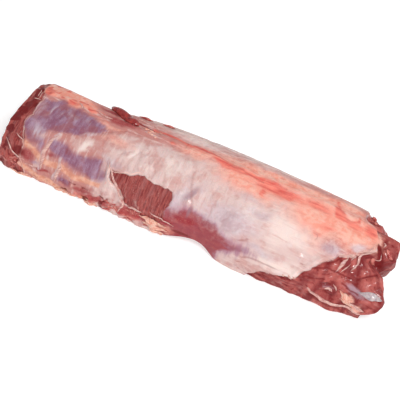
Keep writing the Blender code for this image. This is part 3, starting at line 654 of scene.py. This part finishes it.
def near_tones(x, s):
    """The tones as they lie on the near side and along the ridge."""
    wx, ws = wander(x, s)
    wx, ws = wx + 0.3 * lumps(x, s, 2.0, 41), ws + 0.3 * lumps(x, s, 2.0, 42)
    tones = {}
    cover_zone = smooth(-12.5, -7.5, wx) * smooth(0.4, 2.6, ws + 0.12 * (wx + 9))
    tones["pale"] = most(cover_zone * (1 - 0.75 * smooth(12.5, 15.5, wx) * smooth(6.4, 5.0, ws)), blobs(wx, ws, PALE))
    tones["cream"] = most(blobs(wx, ws, CREAM))
    tones["lilac"] = most(blobs(wx, ws, LILAC))
    tones["shade"] = most(blobs(wx, ws, SHADE))
    tones["raw"] = most(blobs(wx, ws, RAW))
    tones["silver"] = most(patch(wx, ws, UPPER_SILVER, 0.5), patch(wx, ws, LOWER_SILVER, 0.6), 0.8 * patch(wx, ws, SIDE_SILVER, 0.5),
                           0.8 * blob(wx, ws, -13.3, 9.0, 0.8, 0.5), 0.75 * blob(wx, ws, -9.5, 7.0, 0.8, 0.9), 0.6 * blob(wx, ws, 6.0, 8.6, 2.0, 0.35), 0.6 * blob(wx, ws, -16.9, 8.3, 0.8, 0.25),
                           # The blob at 16.2, 8.6 on the rump's lobe is a painted sheen.
                           0.95 * blob(wx, ws, 18.6, 7.6, 1.3, 0.6), 0.62 * blob(wx, ws, 16.2, 8.6, 0.8, 0.35))
    tones["veil"] = most(blobs(wx, ws, VEIL), *[0.8 * streak(wx, ws, chain, 0.2, 0.14) for chain in RIB_BANDS])
    edge_fat = streak(wx, ws, ((-18.6, 9.2), (-16.3, 10.0), (-13.5, 10.5), (-10.5, 10.9)), 0.4, 0.3)
    tones["orange"] = most(patch(wx, ws, RIDGE_FAT, 0.3), 0.9 * streak(wx, ws, FAT_LINE, 0.34, 0.2), edge_fat, blobs(wx, ws, ORANGE))
    tones["red"] = most(blobs(wx, ws, RED), 0.9 * streak(wx, ws, RIDGE_SEAM, 0.3, 0.3), 0.95 * streak(wx, ws, EYE_FOLD, 0.2, 0.25),
                        0.5 * streak(wx, ws, ((-15.0, 0.4), (-12.5, 0.5), (-11.0, 0.9)), 0.14, 0.14))
    strip_reds = smooth(0.0, 0.3, inside(x, s, RIB_END)) * smooth(-0.1, 0.8, lumps(x, s, 0.9, 47) + 0.6 * lumps(x, s, 0.35, 48))
    ridge_reds = patch(wx, ws, RIDGE_FAT, 0.4) * smooth(0.1, 0.55, lumps(x, s, 0.7, 50) + 0.4 * lumps(x, s, 0.3, 51))
    tones["red"] = most(tones["red"], 0.7 * strip_reds, 0.9 * ridge_reds)
    lines = [0.6 * streak(wx, ws, chain, 0.05, 0.07) for chain in FINE_LINES]
    lines.append(streak(wx, ws, ((16.2, 5.0), (17.1, 4.5), (17.9, 4.2), (18.5, 3.2), (18.8, 2.2)), 0.12, 0.2))
    rump_edge = hump(inside(wx, ws, RUMP) + 0.1, 0.1) * smooth(8, 10, x)
    patch_edge = hump(inside(wx, ws, DARK_PATCH) + 0.08, 0.08) * smooth(-5.0, -6.5, x)
    end_edge = 0.7 * hump(inside(wx, ws, RIB_END) + 0.08, 0.1) * smooth(-0.5, 1.0, s)
    patch_lines = hump(fibres(x, s, 70, 0.34, 6.0, 43), 0.16) * smooth(0.15, 0.5, inside(x, s, DARK_PATCH))
    tones["line"] = most(*lines, 0.55 * rump_edge, patch_edge, end_edge, 0.55 * patch_lines, 0.7 * streak(x, s, LOBE_RIM, 0.18, 0.16))
    # grey: painted shade on the strip just over the ridge on the far side, weaker near the middle.
    tones["grey"] = smooth(-1.9, -3.0, ws + 0.05 * wx) * smooth(-10.5, -8.5, wx) * (0.75 + 0.25 * lumps(x, s, 1.3, 49))
    tones["grey"] = tones["grey"] * (1 - 0.8 * blob(wx, ws, 0.5, -2.0, 4.5, 1.4))
    tones["flank"] = smooth(-1.3, 0.7, inside(wx, ws, FLANK)) * (1 - 0.4 * smooth(3.0, 7.5, wx)) * (1 - 0.6 * blob(wx, ws, 5.6, 10.2, 1.8, 0.7))
    strip = smooth(0.0, 0.25, inside(x, s, RIB_END)) * smooth(-1.0, 0.0, s)
    strip_holes = strip * smooth(0.05, 0.75, lumps(x, s, 0.75, 45) + 0.6 * lumps(x, s, 0.3, 46))
    # dark: painted shade in the pitted sawn edge, the slot, the cleft, the rump's creases and hollows and under the
    # lobe's rim, and dark meat with dark holes on the cut end's strip and a few other dark spots.
    tones["dark"] = most(0.75 * pits(x, s), streak(x, s, SLOT, 0.2, 0.14), blob(x, s, 0.2, 9.8, 1.3, 0.3), blob(x, s, 16.0, 8.3, 0.7, 0.25, -30),
                         streak(x, s, CLEFT, 0.24, 0.2), 0.6 * streak(wx, ws, ((14.6, 10.7), (16.0, 10.9), (17.6, 10.9), (19.4, 10.5)), 0.25, 0.2), 0.7 * blob(x, s, 16.2, 9.5, 0.7, 0.2, 8), 0.7 * streak(x, s, RUMP_CREASE, 0.05, 0.06),
                         0.95 * streak(wx, ws, ((-20.8, -0.8), (-20.5, 1.4), (-20.2, 3.4)), 0.35, 0.3), 0.95 * blob(wx, ws, -18.9, 7.7, 0.9, 0.7), 0.7 * blob(wx, ws, -19.9, 2.6, 0.4, 1.2),
                         0.8 * blob(x, s, 19.6, 0.6, 0.3, 0.8), strip_holes)
    # fold: the crease map again, here as painted shade in the creases.
    tones["fold"] = folds(x, s)
    tones["bare"] = np.clip(bare_depth(x, s)[0], -1, 1) * 0.5 + 0.5
    return tones


TONES = tone_strengths(cover_x, cover_s)
for tone, strength in TONES.items():
    keep(cover.data, tone, strength)
    print(tone.ljust(7), "covers", round(float((strength > 0.5).mean()) * 100), "% of the net's points")

# %% [markdown]
# The skin's finish lays the tones over each other from the bottom up: fat and fascia, then the
# tints, then silverskin, and bare muscle where the cover is torn. Noise along the skin's own
# coordinates breaks up each strength, so that no tone ends in a clean airbrushed edge.

# %% The finish of the skin
def skin_finish():
    f = Finish("skin")
    along_x, around_s = f.number("skin_x"), f.number("skin_s")
    flat = f.node("ShaderNodeCombineXYZ", {}, {0: along_x, 1: around_s, 2: f.number("wall_depth") * 2.0})
    cloudy = f.noise(flat, 0.55, 4.0)
    blotch = f.noise(flat, 1.6, 5.0, 0.6)
    grain = f.noise(flat, 9.0, 4.0, 0.6)
    steep = f.noise(f.stretched(flat, (1.8, 0.4, 1), -14), 1.0, 4.0, 0.55)
    level = f.noise(f.stretched(flat, (0.35, 2.2, 1), 3), 1.0, 4.0, 0.55)
    rump_side = f.ramp(along_x + (cloudy - 0.5) * 8.0, 2.0, 7.0)
    lengthways = 1 - (1 - rump_side) * f.ramp(around_s, 0.2, 2.0)
    streaky = steep * (1 - lengthways) + level * lengthways
    rough_edge = (blotch - 0.5) * 0.8 + (grain - 0.5) * 0.3

    def strength(tone, low=0.25, high=0.75, ragged=1.0):
        return f.ramp(f.number(tone) + rough_edge * ragged, low, high)

    colour = f.mix(strength("pale", 0.05, 0.95), FASCIA_PINK, FAT_WHITE)
    colour = f.mix(f.ramp(cloudy, 0.46, 0.62) * 0.55, colour, PINK_SHADE)
    colour = f.mix(strength("cream", 0.1, 0.95), colour, FAT_CREAM)
    colour = f.mix(f.ramp(streaky, 0.5, 0.7) * 0.65, colour, FAT_CREAM)
    colour = f.mix(f.ramp(streaky, 0.46, 0.3) * 0.4, colour, PINK_SHADE)
    band = f.mix(f.ramp(f.number("flank") + (streaky - 0.5) * 0.5, 0.45, 0.85), FLANK_LILAC, f.mix(f.ramp(blotch * 0.6 + level * 0.4, 0.4, 0.7) * 0.5, FLANK_RED, MUSCLE_LIGHT))
    colour = f.mix(f.ramp(f.number("flank") + (steep - 0.5) * 1.2, 0.1, 0.75), colour, band)
    # Painted shade on the far strip past the ridge, between grey and beige.
    colour = f.mix(strength("grey", 0.2, 0.8) * 0.75, colour, f.mix(f.ramp(level, 0.35, 0.65), FAR_SHADE_GREY, FAR_BEIGE))
    fat = f.mix(f.ramp(blotch * 0.5 + cloudy * 0.5, 0.4, 0.6), FAT_ORANGE, FAT_PEACH)
    low_left = f.ramp(around_s, 5.0, 6.5) * (1 - f.ramp(along_x, -8.5, -6.0))
    fat = f.mix(low_left, fat, f.mix(f.ramp(blotch, 0.38, 0.62), FAT_TAN, FAT_STRAW))
    colour = f.mix(strength("orange", 0.1, 1.0, 0.9) * 0.9, colour, fat)
    colour = f.mix(strength("red", 0.2, 0.95) * 0.9, colour, f.mix(f.ramp(streaky, 0.35, 0.65), BLOOD_RED, BLOOD_LIGHT))
    middle = f.ramp(along_x, -3.0, 1.5)
    soft = steep * (1 - middle) + (cloudy * 0.6 + blotch * 0.4) * middle
    colour = f.mix(strength("lilac", 0.1, 1.1) * 0.75, colour, f.mix(f.ramp(soft, 0.38, 0.6), LILAC_SHADE, LILAC_WHITE))
    colour = f.mix(strength("raw", 0.2, 0.85) * 0.85, colour, f.mix(f.ramp(grain * 0.5 + blotch * 0.5, 0.46, 0.64) * 0.38, RAW_RED, SCRAP_PINK))
    colour = f.mix(f.ramp(f.number("shade") + (steep - 0.5) * 0.9 + (grain - 0.5) * 0.2, 0.2, 1.0) * 0.75, colour, CREASE_SHADE)
    sheen = f.mix(f.ramp(steep + (grain - 0.5) * 0.3, 0.32, 0.74), SILVER_PURPLE, SILVER_BLUE)
    sheen = f.mix(f.ramp(blotch, 0.5, 0.68) * 0.5, sheen, SILVER_BLUE)
    sheen = f.mix(f.ramp(cloudy, 0.46, 0.6) * 0.6, sheen, SILVER_RED)
    colour = f.mix(strength("silver", 0.08, 0.92, 0.75) * 0.95, colour, sheen)
    colour = f.mix(strength("veil", 0.1, 1.0, 0.5) * 0.7, colour, f.mix(f.ramp(steep, 0.35, 0.6), FASCIA_PINK, LILAC_WHITE))
    threads = f.noise(f.stretched(flat, (5.0, 0.6, 1), -22), 1.2, 5.0, 0.65)
    slanted = f.ramp(along_x, 12.0, 15.0) * (f.noise(f.stretched(flat, (1.0, 0.4, 1), 42), 0.9, 3.0, 0.5) - level) + level
    strands = threads * (1 - rump_side) + slanted * rump_side
    meat = f.mix(f.ramp(strands, 0.36, 0.63), MUSCLE_RED, MUSCLE_LIGHT)
    # Pale slanted streaks on the bare rump: partly fascia between the bundles, partly a painted highlight along them.
    meat = f.mix(f.ramp(strands, 0.58, 0.74) * 0.4 * f.ramp(along_x, 12.5, 15.5), meat, FASCIA_PINK)
    meat = f.mix(f.ramp(blotch, 0.47, 0.36) * 0.7 * rump_side, meat, DEEP_RED)
    meat = f.mix(f.ramp(cloudy, 0.5, 0.66) * 0.3, meat, DEEP_RED)
    meat = f.mix(f.ramp(blotch, 0.52, 0.66) * 0.22, meat, SCRAP_PINK)
    meat = f.mix(strength("red", 0.2, 1.0) * 0.4, meat, f.mix(f.ramp(grain, 0.46, 0.68), BLOOD_RED, SCRAP_PINK))
    meat = f.mix(f.ramp(steep, 0.45, 0.66) * 0.45 * (1 - rump_side), meat, (0.52, 0.20, 0.19))
    meat = f.mix(strength("orange", 0.3, 0.8) * 0.9, meat, FAT_PEACH)
    meat = f.mix(strength("silver", 0.3, 0.8) * 0.85, meat, SILVER_BARE)
    bare = f.ramp(f.number("bare") + (grain - 0.5) * 0.08 + (blotch - 0.5) * 0.06, 0.485, 0.54)
    colour = f.mix(bare, colour, meat)
    # Painted shade in the creases: darker pink on the cover, deep red on bare muscle.
    colour = f.mix(f.ramp(f.number("fold"), 0.2, 0.85) * 0.75, colour, f.mix(bare, FOLD_SHADE_PINK, DEEP_RED))
    colour = f.mix(strength("line", 0.35, 0.75, 0.5) * 0.85, colour, LINE_WHITE)
    # Deep red for dark meat and for the painted shade in pits, slot, cleft and hollows.
    colour = f.mix(strength("dark", 0.3, 0.8, 0.6) * 0.9, colour, DEEP_RED)
    wet = f.ramp(blotch + (grain - 0.5) * 0.5, 0.5, 0.66)
    f.shape(Base_Color=colour, Roughness=0.5 + blotch * 0.2 - strength("silver") * 0.1, Coat_Weight=0.04 + wet * (0.35 + bare * 0.45))
    f.bump(streaky * 0.5 + grain * 0.3 + strands * bare * 1.2 + blotch * 0.8, 0.0024)
    moisten(f)
    return f.material


cover.data.materials.append(skin_finish())
print("skin finish has", len(cover.data.materials[0].node_tree.nodes), "nodes")

# %% [markdown]
# A net with one height at each place can't overhang, so what lies loose on the skin is made
# apart: pale threads of fascia, the two rib bands, scraps of muscle and crumbs of fat. Each is a
# flattened, knobbly tube laid along a chain of places on the skin. Curves with a bevel could do
# it, but a mesh keeps its skin coordinates for the finish and may thin out and swell.

# %% Loose strands
RIM = len(RIM_TURNS)
STRAND_STEP, STRAND_SIDES = 0.09, 10
across_rows, down_columns = np.gradient(cover_places, axis=0), np.gradient(cover_places, axis=1)
cover_out = np.cross(across_rows, down_columns)
cover_out /= np.linalg.norm(cover_out, axis=2, keepdims=True) + 1e-9
cover_out *= np.sign(cover_out[len(cover_rows) // 2, len(near_v) // 2, 2])


def on_skin(x, s):
    """The place of a point on the cover, in cm, and the direction out of it."""
    row = np.interp(x, cover_rows, np.arange(len(cover_rows))) + RIM
    low = np.clip(row.astype(int), 0, len(cover_x) - 2)
    column = np.array([np.interp(-at_s, -cover_s[i, RIM:-RIM], np.arange(RIM, cover_s.shape[1] - RIM))
                       for i, at_s in zip(low, s)])
    left = column.astype(int)
    fr, fc = (row - low)[:, None], (column - left)[:, None]
    found = []
    for grid in (cover_places, cover_out):
        first = grid[low, left] * (1 - fc) + grid[low, left + 1] * fc
        second = grid[low + 1, left] * (1 - fc) + grid[low + 1, left + 1] * fc
        found.append(first * (1 - fr) + second * fr)
    return found[0], found[1] / np.linalg.norm(found[1], axis=1, keepdims=True)


def strand(chain, width, thick, rise=0.35, ends=0.25, wobble=0.05, seed=51):
    """Points, faces and skin coordinates of one strand. rise is how far it floats, in its thickness."""
    corners = np.array(chain, float)
    run = np.concatenate([[0], np.cumsum(np.hypot(*np.diff(corners, axis=0).T))])
    count = max(7, int(run[-1] / STRAND_STEP))
    at = np.linspace(0, run[-1], count)
    x, s = np.interp(at, run, corners[:, 0]), np.interp(at, run, corners[:, 1])
    ease = min(3, count // 3)
    for _ in range(ease):
        x[1:-1], s[1:-1] = (x[:-2] + 2 * x[1:-1] + x[2:]) / 4, (s[:-2] + 2 * s[1:-1] + s[2:]) / 4
    x, s = x + wobble * lumps(at, 0 * at, 0.5, seed), s + wobble * lumps(at, 0 * at, 0.5, seed + 1)
    place, out = on_skin(x, s)
    tangent = np.gradient(place, axis=0)
    across = np.cross(out, tangent)
    across /= np.linalg.norm(across, axis=1, keepdims=True) + 1e-9
    share = at / run[-1]
    taper = np.clip(np.minimum(share, 1 - share) / ends, 0.02, 1) ** (0.5 + ends)
    turn = np.linspace(0, 2 * np.pi, STRAND_SIDES, endpoint=False)
    knobs = 1 + 0.22 * lumps(at[:, None] + 0 * turn, np.cos(turn)[None] * 0.5 + 0 * at[:, None], 0.8, seed + 2)
    wide = (width / 2) * taper[:, None] * knobs * np.cos(turn)
    high = (thick / 2) * taper[:, None] * knobs * np.sin(turn) + rise * thick
    points = place[:, None] + across[:, None] * wide[..., None] + out[:, None] * high[..., None]
    index = np.arange(count * STRAND_SIDES).reshape(count, STRAND_SIDES)
    following = np.roll(index, -1, 1)
    faces = np.stack([index[:-1], following[:-1], following[1:], index[1:]], -1).reshape(-1, 4).tolist()
    faces += [index[0, ::-1].tolist(), index[-1].tolist()]
    return points.reshape(-1, 3), faces, np.repeat(x, STRAND_SIDES), np.repeat(s, STRAND_SIDES) + np.tile(np.cos(turn) * width / 2, count)


def strands(name, rows):
    """One mesh of many strands. Each row is what strand() takes."""
    points, faces, xs, ss = [], [], [], []
    total = 0
    for number, row in enumerate(rows):
        more, quads, x, s = strand(*row, seed=60 + 5 * number)
        faces += [[corner + total for corner in face] for face in quads]
        points.append(more)
        xs.append(x)
        ss.append(s)
        total += len(more)
    mesh = bpy.data.meshes.new(name)
    mesh.from_pydata((np.concatenate(points) * CM).tolist(), [], faces)
    mesh.update()
    mesh.shade_smooth()
    keep(mesh, "skin_x", np.concatenate(xs))
    keep(mesh, "skin_s", np.concatenate(ss))
    piece = bpy.data.objects.new(name, mesh)
    bpy.context.scene.collection.objects.link(piece)
    print(name, "has", len(rows), "strands")
    return piece


print("a strand has", STRAND_SIDES, "sides")

# %% [markdown]
# The strands' places were read off the saddle like the outlines. Ragged edges with no pattern,
# such as the scraps along the sawn ribs, are scattered with random numbers from a fixed seed.

# %% Fascia, scraps of muscle, crumbs of fat and the cartilage
def scattered(seed, count, low, high, length, width, thick, spread=60):
    """Short strands spread over a rectangle of the skin, each turned a random way within a spread."""
    chance = np.random.default_rng(seed)
    rows = []
    for _ in range(count):
        x, s = chance.uniform(low[0], high[0]), chance.uniform(low[1], high[1])
        way = np.radians(chance.uniform(-spread, spread))
        half = length * chance.uniform(0.5, 1.0) / 2
        step = (half * np.cos(way), half * np.sin(way))
        rows.append((((x - step[0], s - step[1]), (x, s + 0.1), (x + step[0], s + step[1])),
                     width * chance.uniform(0.6, 1.1), thick * chance.uniform(0.6, 1.2)))
    return rows


FASCIA = [
    (RIB_BANDS[0], 0.34, 0.07), (RIB_BANDS[1], 0.3, 0.07),
    (((-20.8, 6.9), (-20.2, 7.4), (-19.8, 7.8), (-19.5, 8.2), (-18.8, 8.5), (-18.0, 8.4)), 0.15, 0.1),
    (((-18.0, 8.8), (-17.3, 8.9), (-16.5, 9.2)), 0.16, 0.1),
    (((-20.5, -0.3), (-20.3, 0.4), (-20.2, 1.0)), 0.12, 0.08), (((-20.2, 0.0), (-20.0, 0.6), (-19.9, 1.1)), 0.1, 0.08),
    (((-20.5, 1.3), (-20.1, 1.2), (-19.6, 1.3)), 0.08, 0.08),
    (((-19.7, 6.0), (-19.3, 6.3), (-18.7, 6.5)), 0.1, 0.08),
    (((-9.4, 4.9), (-9.0, 5.7), (-8.5, 6.4), (-7.6, 7.4), (-6.9, 8.2), (-6.4, 8.9), (-6.7, 9.8), (-7.0, 10.6)), 0.24, 0.13),
    (((-5.9, 9.2), (-5.1, 9.1), (-4.3, 9.2)), 0.28, 0.14), (((-3.6, 8.7), (-2.7, 8.9), (-1.6, 9.0), (-0.6, 9.2)), 0.12, 0.1),
    (((18.7, 2.0), (18.5, 3.0), (18.0, 3.8), (17.3, 4.8)), 0.42, 0.14, 0.35, 0.5), (((19.0, 2.2), (18.8, 3.2), (18.3, 4.4), (17.6, 5.8)), 0.3, 0.12, 0.35, 0.5),
    (((18.4, 4.5), (18.0, 5.0), (17.6, 5.8)), 0.24, 0.12, 0.35, 0.5), (((19.5, 2.2), (19.9, 2.8), (19.9, 3.4)), 0.16, 0.1, 0.35, 0.5),
    (((17.0, 4.5), (16.8, 5.1), (16.5, 5.9), (16.3, 6.6)), 0.4, 0.12, 0.35, 0.5), (((17.4, 4.9), (17.2, 5.5), (16.7, 6.5)), 0.14, 0.1, 0.35, 0.5),
    (LOBE_RIM, 0.3, 0.14), (((18.6, 9.4), (19.6, 9.3), (20.5, 9.2)), 0.3, 0.14),
    (((12.1, 8.9), (12.4, 9.2), (12.5, 9.6)), 0.3, 0.1), (((12.6, 8.8), (12.9, 9.2)), 0.2, 0.1), (((11.6, 9.1), (11.8, 9.4)), 0.2, 0.1),
    (((15.9, 8.9), (16.3, 8.6), (16.7, 8.9)), 0.3, 0.12), (((16.5, 7.9), (16.9, 8.1), (17.1, 8.6)), 0.14, 0.1),
    (((-10.6, -1.7), (-9.4, -0.9), (-8.6, -0.3), (-7.9, 0.0)), 0.14, 0.12), (((-9.6, -1.9), (-8.4, -1.7), (-7.2, -1.4), (-6.4, -1.2)), 0.16, 0.12),
    # The pale threads along the left of the ridge lie where it glints, so they are partly fascia and partly a painted
    # highlight.
    (((-15.6, -0.3), (-14.8, 0.2), (-13.8, 0.4)), 0.24, 0.12), (((-13.6, -0.2), (-12.6, 0.1), (-11.4, 0.2)), 0.2, 0.1),
    (((19.5, 0.7), (19.7, 1.1), (19.6, 1.5)), 0.2, 0.12),
]
NUB = [(((-12.7, -3.3), (-12.1, -2.5), (-11.2, -1.8), (-10.2, -1.1), (-9.3, -0.5), (-8.6, -0.2)), 0.95, 0.6, 0.3, 0.12),
       (((-11.2, -1.3), (-10.2, -0.6), (-9.2, 0.0)), 0.45, 0.34), (((-9.9, -1.7), (-8.8, -1.2), (-7.4, -0.8)), 0.3, 0.2)]
SCRAPS = [
    (((-9.6, -3.0), (-8.7, -2.9), (-7.8, -2.6)), 0.5, 0.3, 0.35, 0.4), (((-6.8, -2.6), (-6.0, -2.8), (-5.2, -2.6)), 0.4, 0.24, 0.35, 0.4),
    (((18.8, -3.6), (19.3, -4.0), (19.8, -4.1)), 0.4, 0.24), (((20.2, -2.6), (20.5, -2.9)), 0.3, 0.2),
    (((19.6, 3.1), (20.2, 3.5), (20.7, 3.6)), 0.4, 0.3), (((19.9, 1.6), (20.4, 2.2), (20.8, 2.4)), 0.4, 0.25),
] + scattered(71, 22, (-8.4, 9.3), (-3.4, 10.8), 1.3, 0.2, 0.09, 40) + scattered(72, 7, (-20.4, 8.8), (-18.8, 10.2), 1.0, 0.3, 0.1, 50)
CRUMBS = [
    (((-4.6, 9.5), (-3.4, 9.7), (-2.2, 9.8), (-1.2, 9.8)), 0.75, 0.16, 0.35, 0.5),
    (((-4.2, 10.2), (-3.0, 10.3), (-1.9, 10.4), (-1.1, 10.3)), 0.7, 0.2, 0.35, 0.45),
    (((-3.3, 10.6), (-2.4, 10.9), (-1.5, 11.0)), 0.6, 0.18, 0.35, 0.4),
    (((-2.2, 10.9), (-1.8, 11.3), (-1.7, 11.8)), 0.4, 0.16, 0.35, 0.6),
    (((17.3, 8.3), (18.1, 8.8), (19.0, 9.2)), 0.75, 0.22, 0.35, 0.45), (((17.8, 9.1), (18.8, 9.4), (19.8, 9.5)), 0.4, 0.16),
] + scattered(73, 10, (-7.8, -0.7), (-5.8, 0.4), 0.5, 0.24, 0.14) + scattered(74, 9, (-19.0, 10.2), (-9.0, 10.9), 1.8, 0.3, 0.1, 14)
CARTILAGE = [(((18.7, 7.4), (19.5, 7.3), (20.3, 7.1), (21.0, 7.1)), 0.8, 0.3, 0.3, 0.4)]
loose = {name: strands(name, rows) for name, rows in
         (("fascia", FASCIA), ("nub", NUB), ("scraps", SCRAPS), ("crumbs", CRUMBS), ("cartilage", CARTILAGE))}


def loose_finish(name, low, high, streaks, coat):
    """A finish whose colour runs from low to high in streaks."""
    f = Finish(name)
    flat = f.node("ShaderNodeCombineXYZ", {}, {0: f.number("skin_x"), 1: f.number("skin_s")})
    drawn = f.noise(f.stretched(flat, streaks, 20), 2.0, 5.0, 0.65)
    grain = f.noise(flat, 12.0, 3.0)
    f.shape(Base_Color=f.mix(f.ramp(drawn + (grain - 0.5) * 0.4, 0.35, 0.65), low, high), Roughness=0.4 + grain * 0.2, Coat_Weight=coat)
    f.bump(drawn + grain * 0.5, 0.0012)
    moisten(f)
    return f.material


loose["fascia"].data.materials.append(loose_finish("fascia", FASCIA_PINK, LINE_WHITE, (1.0, 2.0, 1), 0.3))
loose["scraps"].data.materials.append(loose_finish("scraps", SCRAP_RED, SCRAP_PINK, (1.0, 1.0, 1), 0.4))
loose["nub"].data.materials.append(loose_finish("nub", DEEP_RED, NUB_RED, (1.0, 1.0, 1), 0.5))
loose["crumbs"].data.materials.append(loose_finish("crumbs", (0.80, 0.30, 0.22), (0.98, 0.62, 0.50), (1.5, 1.5, 1), 0.3))
loose["cartilage"].data.materials.append(loose_finish("cartilage", (0.40, 0.30, 0.33), (0.62, 0.52, 0.52), (1.5, 1.5, 1), 0.7))

# %% [markdown]
# Seen from below or from the ends, the arch is lined with a thin wet membrane over the ribs, with
# the two fillets as dark red cords beside the backbone. The cut ends are plain muscle, so one
# finish serves both, with a mask of how deep in the wall a point lies.

# %% The finish of the arch and the cut ends
rib_strength = sum(hump(under_x - place, 0.3) for place in RIB_PLACES)
from_bone = np.abs(under_places[..., 1] + FOOTPRINT_MIDDLE[1] - BONE_SIDE)
keep(under.data, "ribs", np.clip(rib_strength, 0, 1) * smooth(1.0, 1.6, from_bone))
keep(under.data, "fillet", smooth(-5.0, 1.0, under_x) * hump(from_bone - 2.3, 1.2))
keep(under.data, "bone_fat", hump(from_bone, 1.5))


def lining_finish():
    f = Finish("lining")
    flat = f.node("ShaderNodeCombineXYZ", {}, {0: f.number("skin_x"), 1: f.number("skin_s"), 2: f.number("wall_depth") * 2.0})
    blotch = f.noise(flat, 1.4, 5.0, 0.6)
    grain = f.noise(flat, 8.0, 4.0)
    threads = f.noise(f.stretched(flat, (1.0, 6.0, 3.0), 0), 1.3, 4.0, 0.65)
    membrane = f.mix(f.ramp(blotch, 0.35, 0.7), (0.52, 0.20, 0.18), (0.70, 0.38, 0.33))
    fillet = f.mix(f.ramp(threads, 0.4, 0.7), MUSCLE_RED, MUSCLE_LIGHT)
    membrane = f.mix(f.ramp(f.number("fillet") + (blotch - 0.5) * 0.4, 0.35, 0.6), membrane, fillet)
    membrane = f.mix(f.ramp(f.number("ribs") + (grain - 0.5) * 0.2, 0.45, 0.8) * 0.7, membrane, (0.74, 0.48, 0.42))
    membrane = f.mix(f.ramp(f.number("bone_fat") + (blotch - 0.5) * 0.5, 0.5, 0.9) * 0.8, membrane, (0.86, 0.58, 0.47))
    cut = f.mix(f.ramp(threads, 0.4, 0.75), (0.24, 0.035, 0.035), (0.44, 0.10, 0.09))
    cut = f.mix(f.ramp(blotch, 0.62, 0.72) * 0.6, cut, (0.80, 0.50, 0.44))
    colour = f.mix(f.ramp(f.number("wall_depth"), 0.86, 0.97), cut, membrane)
    f.shape(Base_Color=colour, Roughness=0.36 + blotch * 0.2, Coat_Weight=0.2)
    f.bump(threads * 0.6 + grain * 0.4, 0.0008)
    moisten(f)
    return f.material


under.data.materials.append(lining_finish())
print("lining finish has", len(under.data.materials[0].node_tree.nodes), "nodes")

# %% [markdown]
# Sawn bone is pale and porous at its cut, pinker along its sides. The solids of the backbone and
# the ribs already have the right shape, so they stay, and get this finish.

# %% The finish of the bones
def bone_finish():
    f = Finish("bone")
    place = f.node("ShaderNodeTexCoord", output="Object")
    stain = f.noise(place, 90.0, 4.0)
    pores = f.noise(place, 900.0, 2.0)
    colour = f.mix(f.ramp(stain, 0.35, 0.7), BONE_PALE, (0.66, 0.30, 0.25))
    colour = f.mix(f.ramp(pores, 0.55, 0.7) * 0.5, colour, (0.42, 0.12, 0.10))
    f.shape(Base_Color=colour, Roughness=0.45 + pores * 0.2)
    f.bump(pores, 0.0004)
    moisten(f)
    return f.material


bone = bone_finish()
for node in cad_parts.values():
    if node.name != "meat":
        node.data.materials.clear()
        node.data.materials.append(bone)
print("bones finished:", len(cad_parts) - 1)

# %% [markdown]
# Every piece is tied to the frame: it moves with the root body, and the meat's solid, which these pieces stand in for,
# is hidden.

# %% Tie the nets to the frame
for piece in (cover, under, *loose.values()):
    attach(piece, "root")
    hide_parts("meat")
print("the meat's solid is shown by", cover.name, "and", under.name)

# %% [markdown]
# The photograph is a shop picture: white ground, very soft light from all round, a little more
# from above. A pale floor that glows slightly keeps the ground white and its shadows faint.

# %% Floor and light
GROUND_SIZE = 6.0
SOFT_LIGHTS = ((0.5, (0.45, -0.7, 1.2), (0.0, 0.0, 0.03), 14.0), (0.8, (-1.2, -0.9, 0.8), (0.0, 0.0, 0.03), 1.2),
               (0.8, (1.0, 1.0, 1.2), (0.0, 0.0, 0.03), 5.5))


def ground():
    mesh = bpy.data.meshes.new("ground")
    half = GROUND_SIZE / 2
    corners = [(-half, -half, 0), (half, -half, 0), (half, half, 0), (-half, half, 0)]
    mesh.from_pydata(corners, [], [(0, 1, 2, 3)])
    made = bpy.data.objects.new("ground", mesh)
    bpy.context.scene.collection.objects.link(made)
    f = Finish("ground")
    f.shape(Base_Color=(0.5, 0.5, 0.5), Roughness=0.9, Emission_Color=(1.0, 1.0, 1.0), Emission_Strength=0.65)
    mesh.materials.append(f.material)
    return made


def aim(made, target):
    from mathutils import Vector
    made.rotation_euler = (Vector(target) - made.location).to_track_quat("-Z", "Y").to_euler()


def soft_light(number, size, place, target, watts):
    lamp = bpy.data.lights.new(f"soft_{number}", "AREA")
    lamp.shape, lamp.size, lamp.energy = "DISK", size, watts
    made = bpy.data.objects.new(lamp.name, lamp)
    made.location = place
    bpy.context.scene.collection.objects.link(made)
    aim(made, target)


ground()
for number, (size, place, target, watts) in enumerate(SOFT_LIGHTS, 1):
    soft_light(number, size, place, target, watts)
world = bpy.data.worlds.new("studio")
world.use_nodes = True
world.node_tree.nodes["Background"].inputs["Color"].default_value = (1, 1, 1, 1)
world.node_tree.nodes["Background"].inputs["Strength"].default_value = 0.35
bpy.context.scene.world = world
bpy.context.scene.view_settings.view_transform = "Standard"
print("lights:", len(SOFT_LIGHTS))

# %% [markdown]
# The camera looks down at the near side from a little towards the rump, and is rolled, so that
# the saddle lies aslant in the square picture.

# %% Camera
AZIMUTH, ELEVATION, ROLL = np.radians(12), np.radians(42), np.radians(14.9)
DISTANCE, TARGET, LENS = 1.175, np.array([-0.00046, -0.00651, 0.022]), 100


def camera():
    from mathutils import Matrix
    back = np.array([np.sin(AZIMUTH) * np.cos(ELEVATION), -np.cos(AZIMUTH) * np.cos(ELEVATION), np.sin(ELEVATION)])
    level = np.cross([0, 0, 1], back)
    level /= np.linalg.norm(level)
    upright = np.cross(back, level)
    right = np.cos(ROLL) * level + np.sin(ROLL) * upright
    up = np.cos(ROLL) * upright - np.sin(ROLL) * level
    made = bpy.data.objects.new("camera", bpy.data.cameras.new("camera"))
    made.data.lens, made.data.sensor_width = LENS, 36
    columns = np.column_stack([right, up, back, TARGET + back * DISTANCE])
    made.matrix_world = Matrix([*columns.tolist(), [0, 0, 0, 1]])
    bpy.context.scene.collection.objects.link(made)
    bpy.context.scene.camera = made


camera()
print("camera", DISTANCE, "m away")
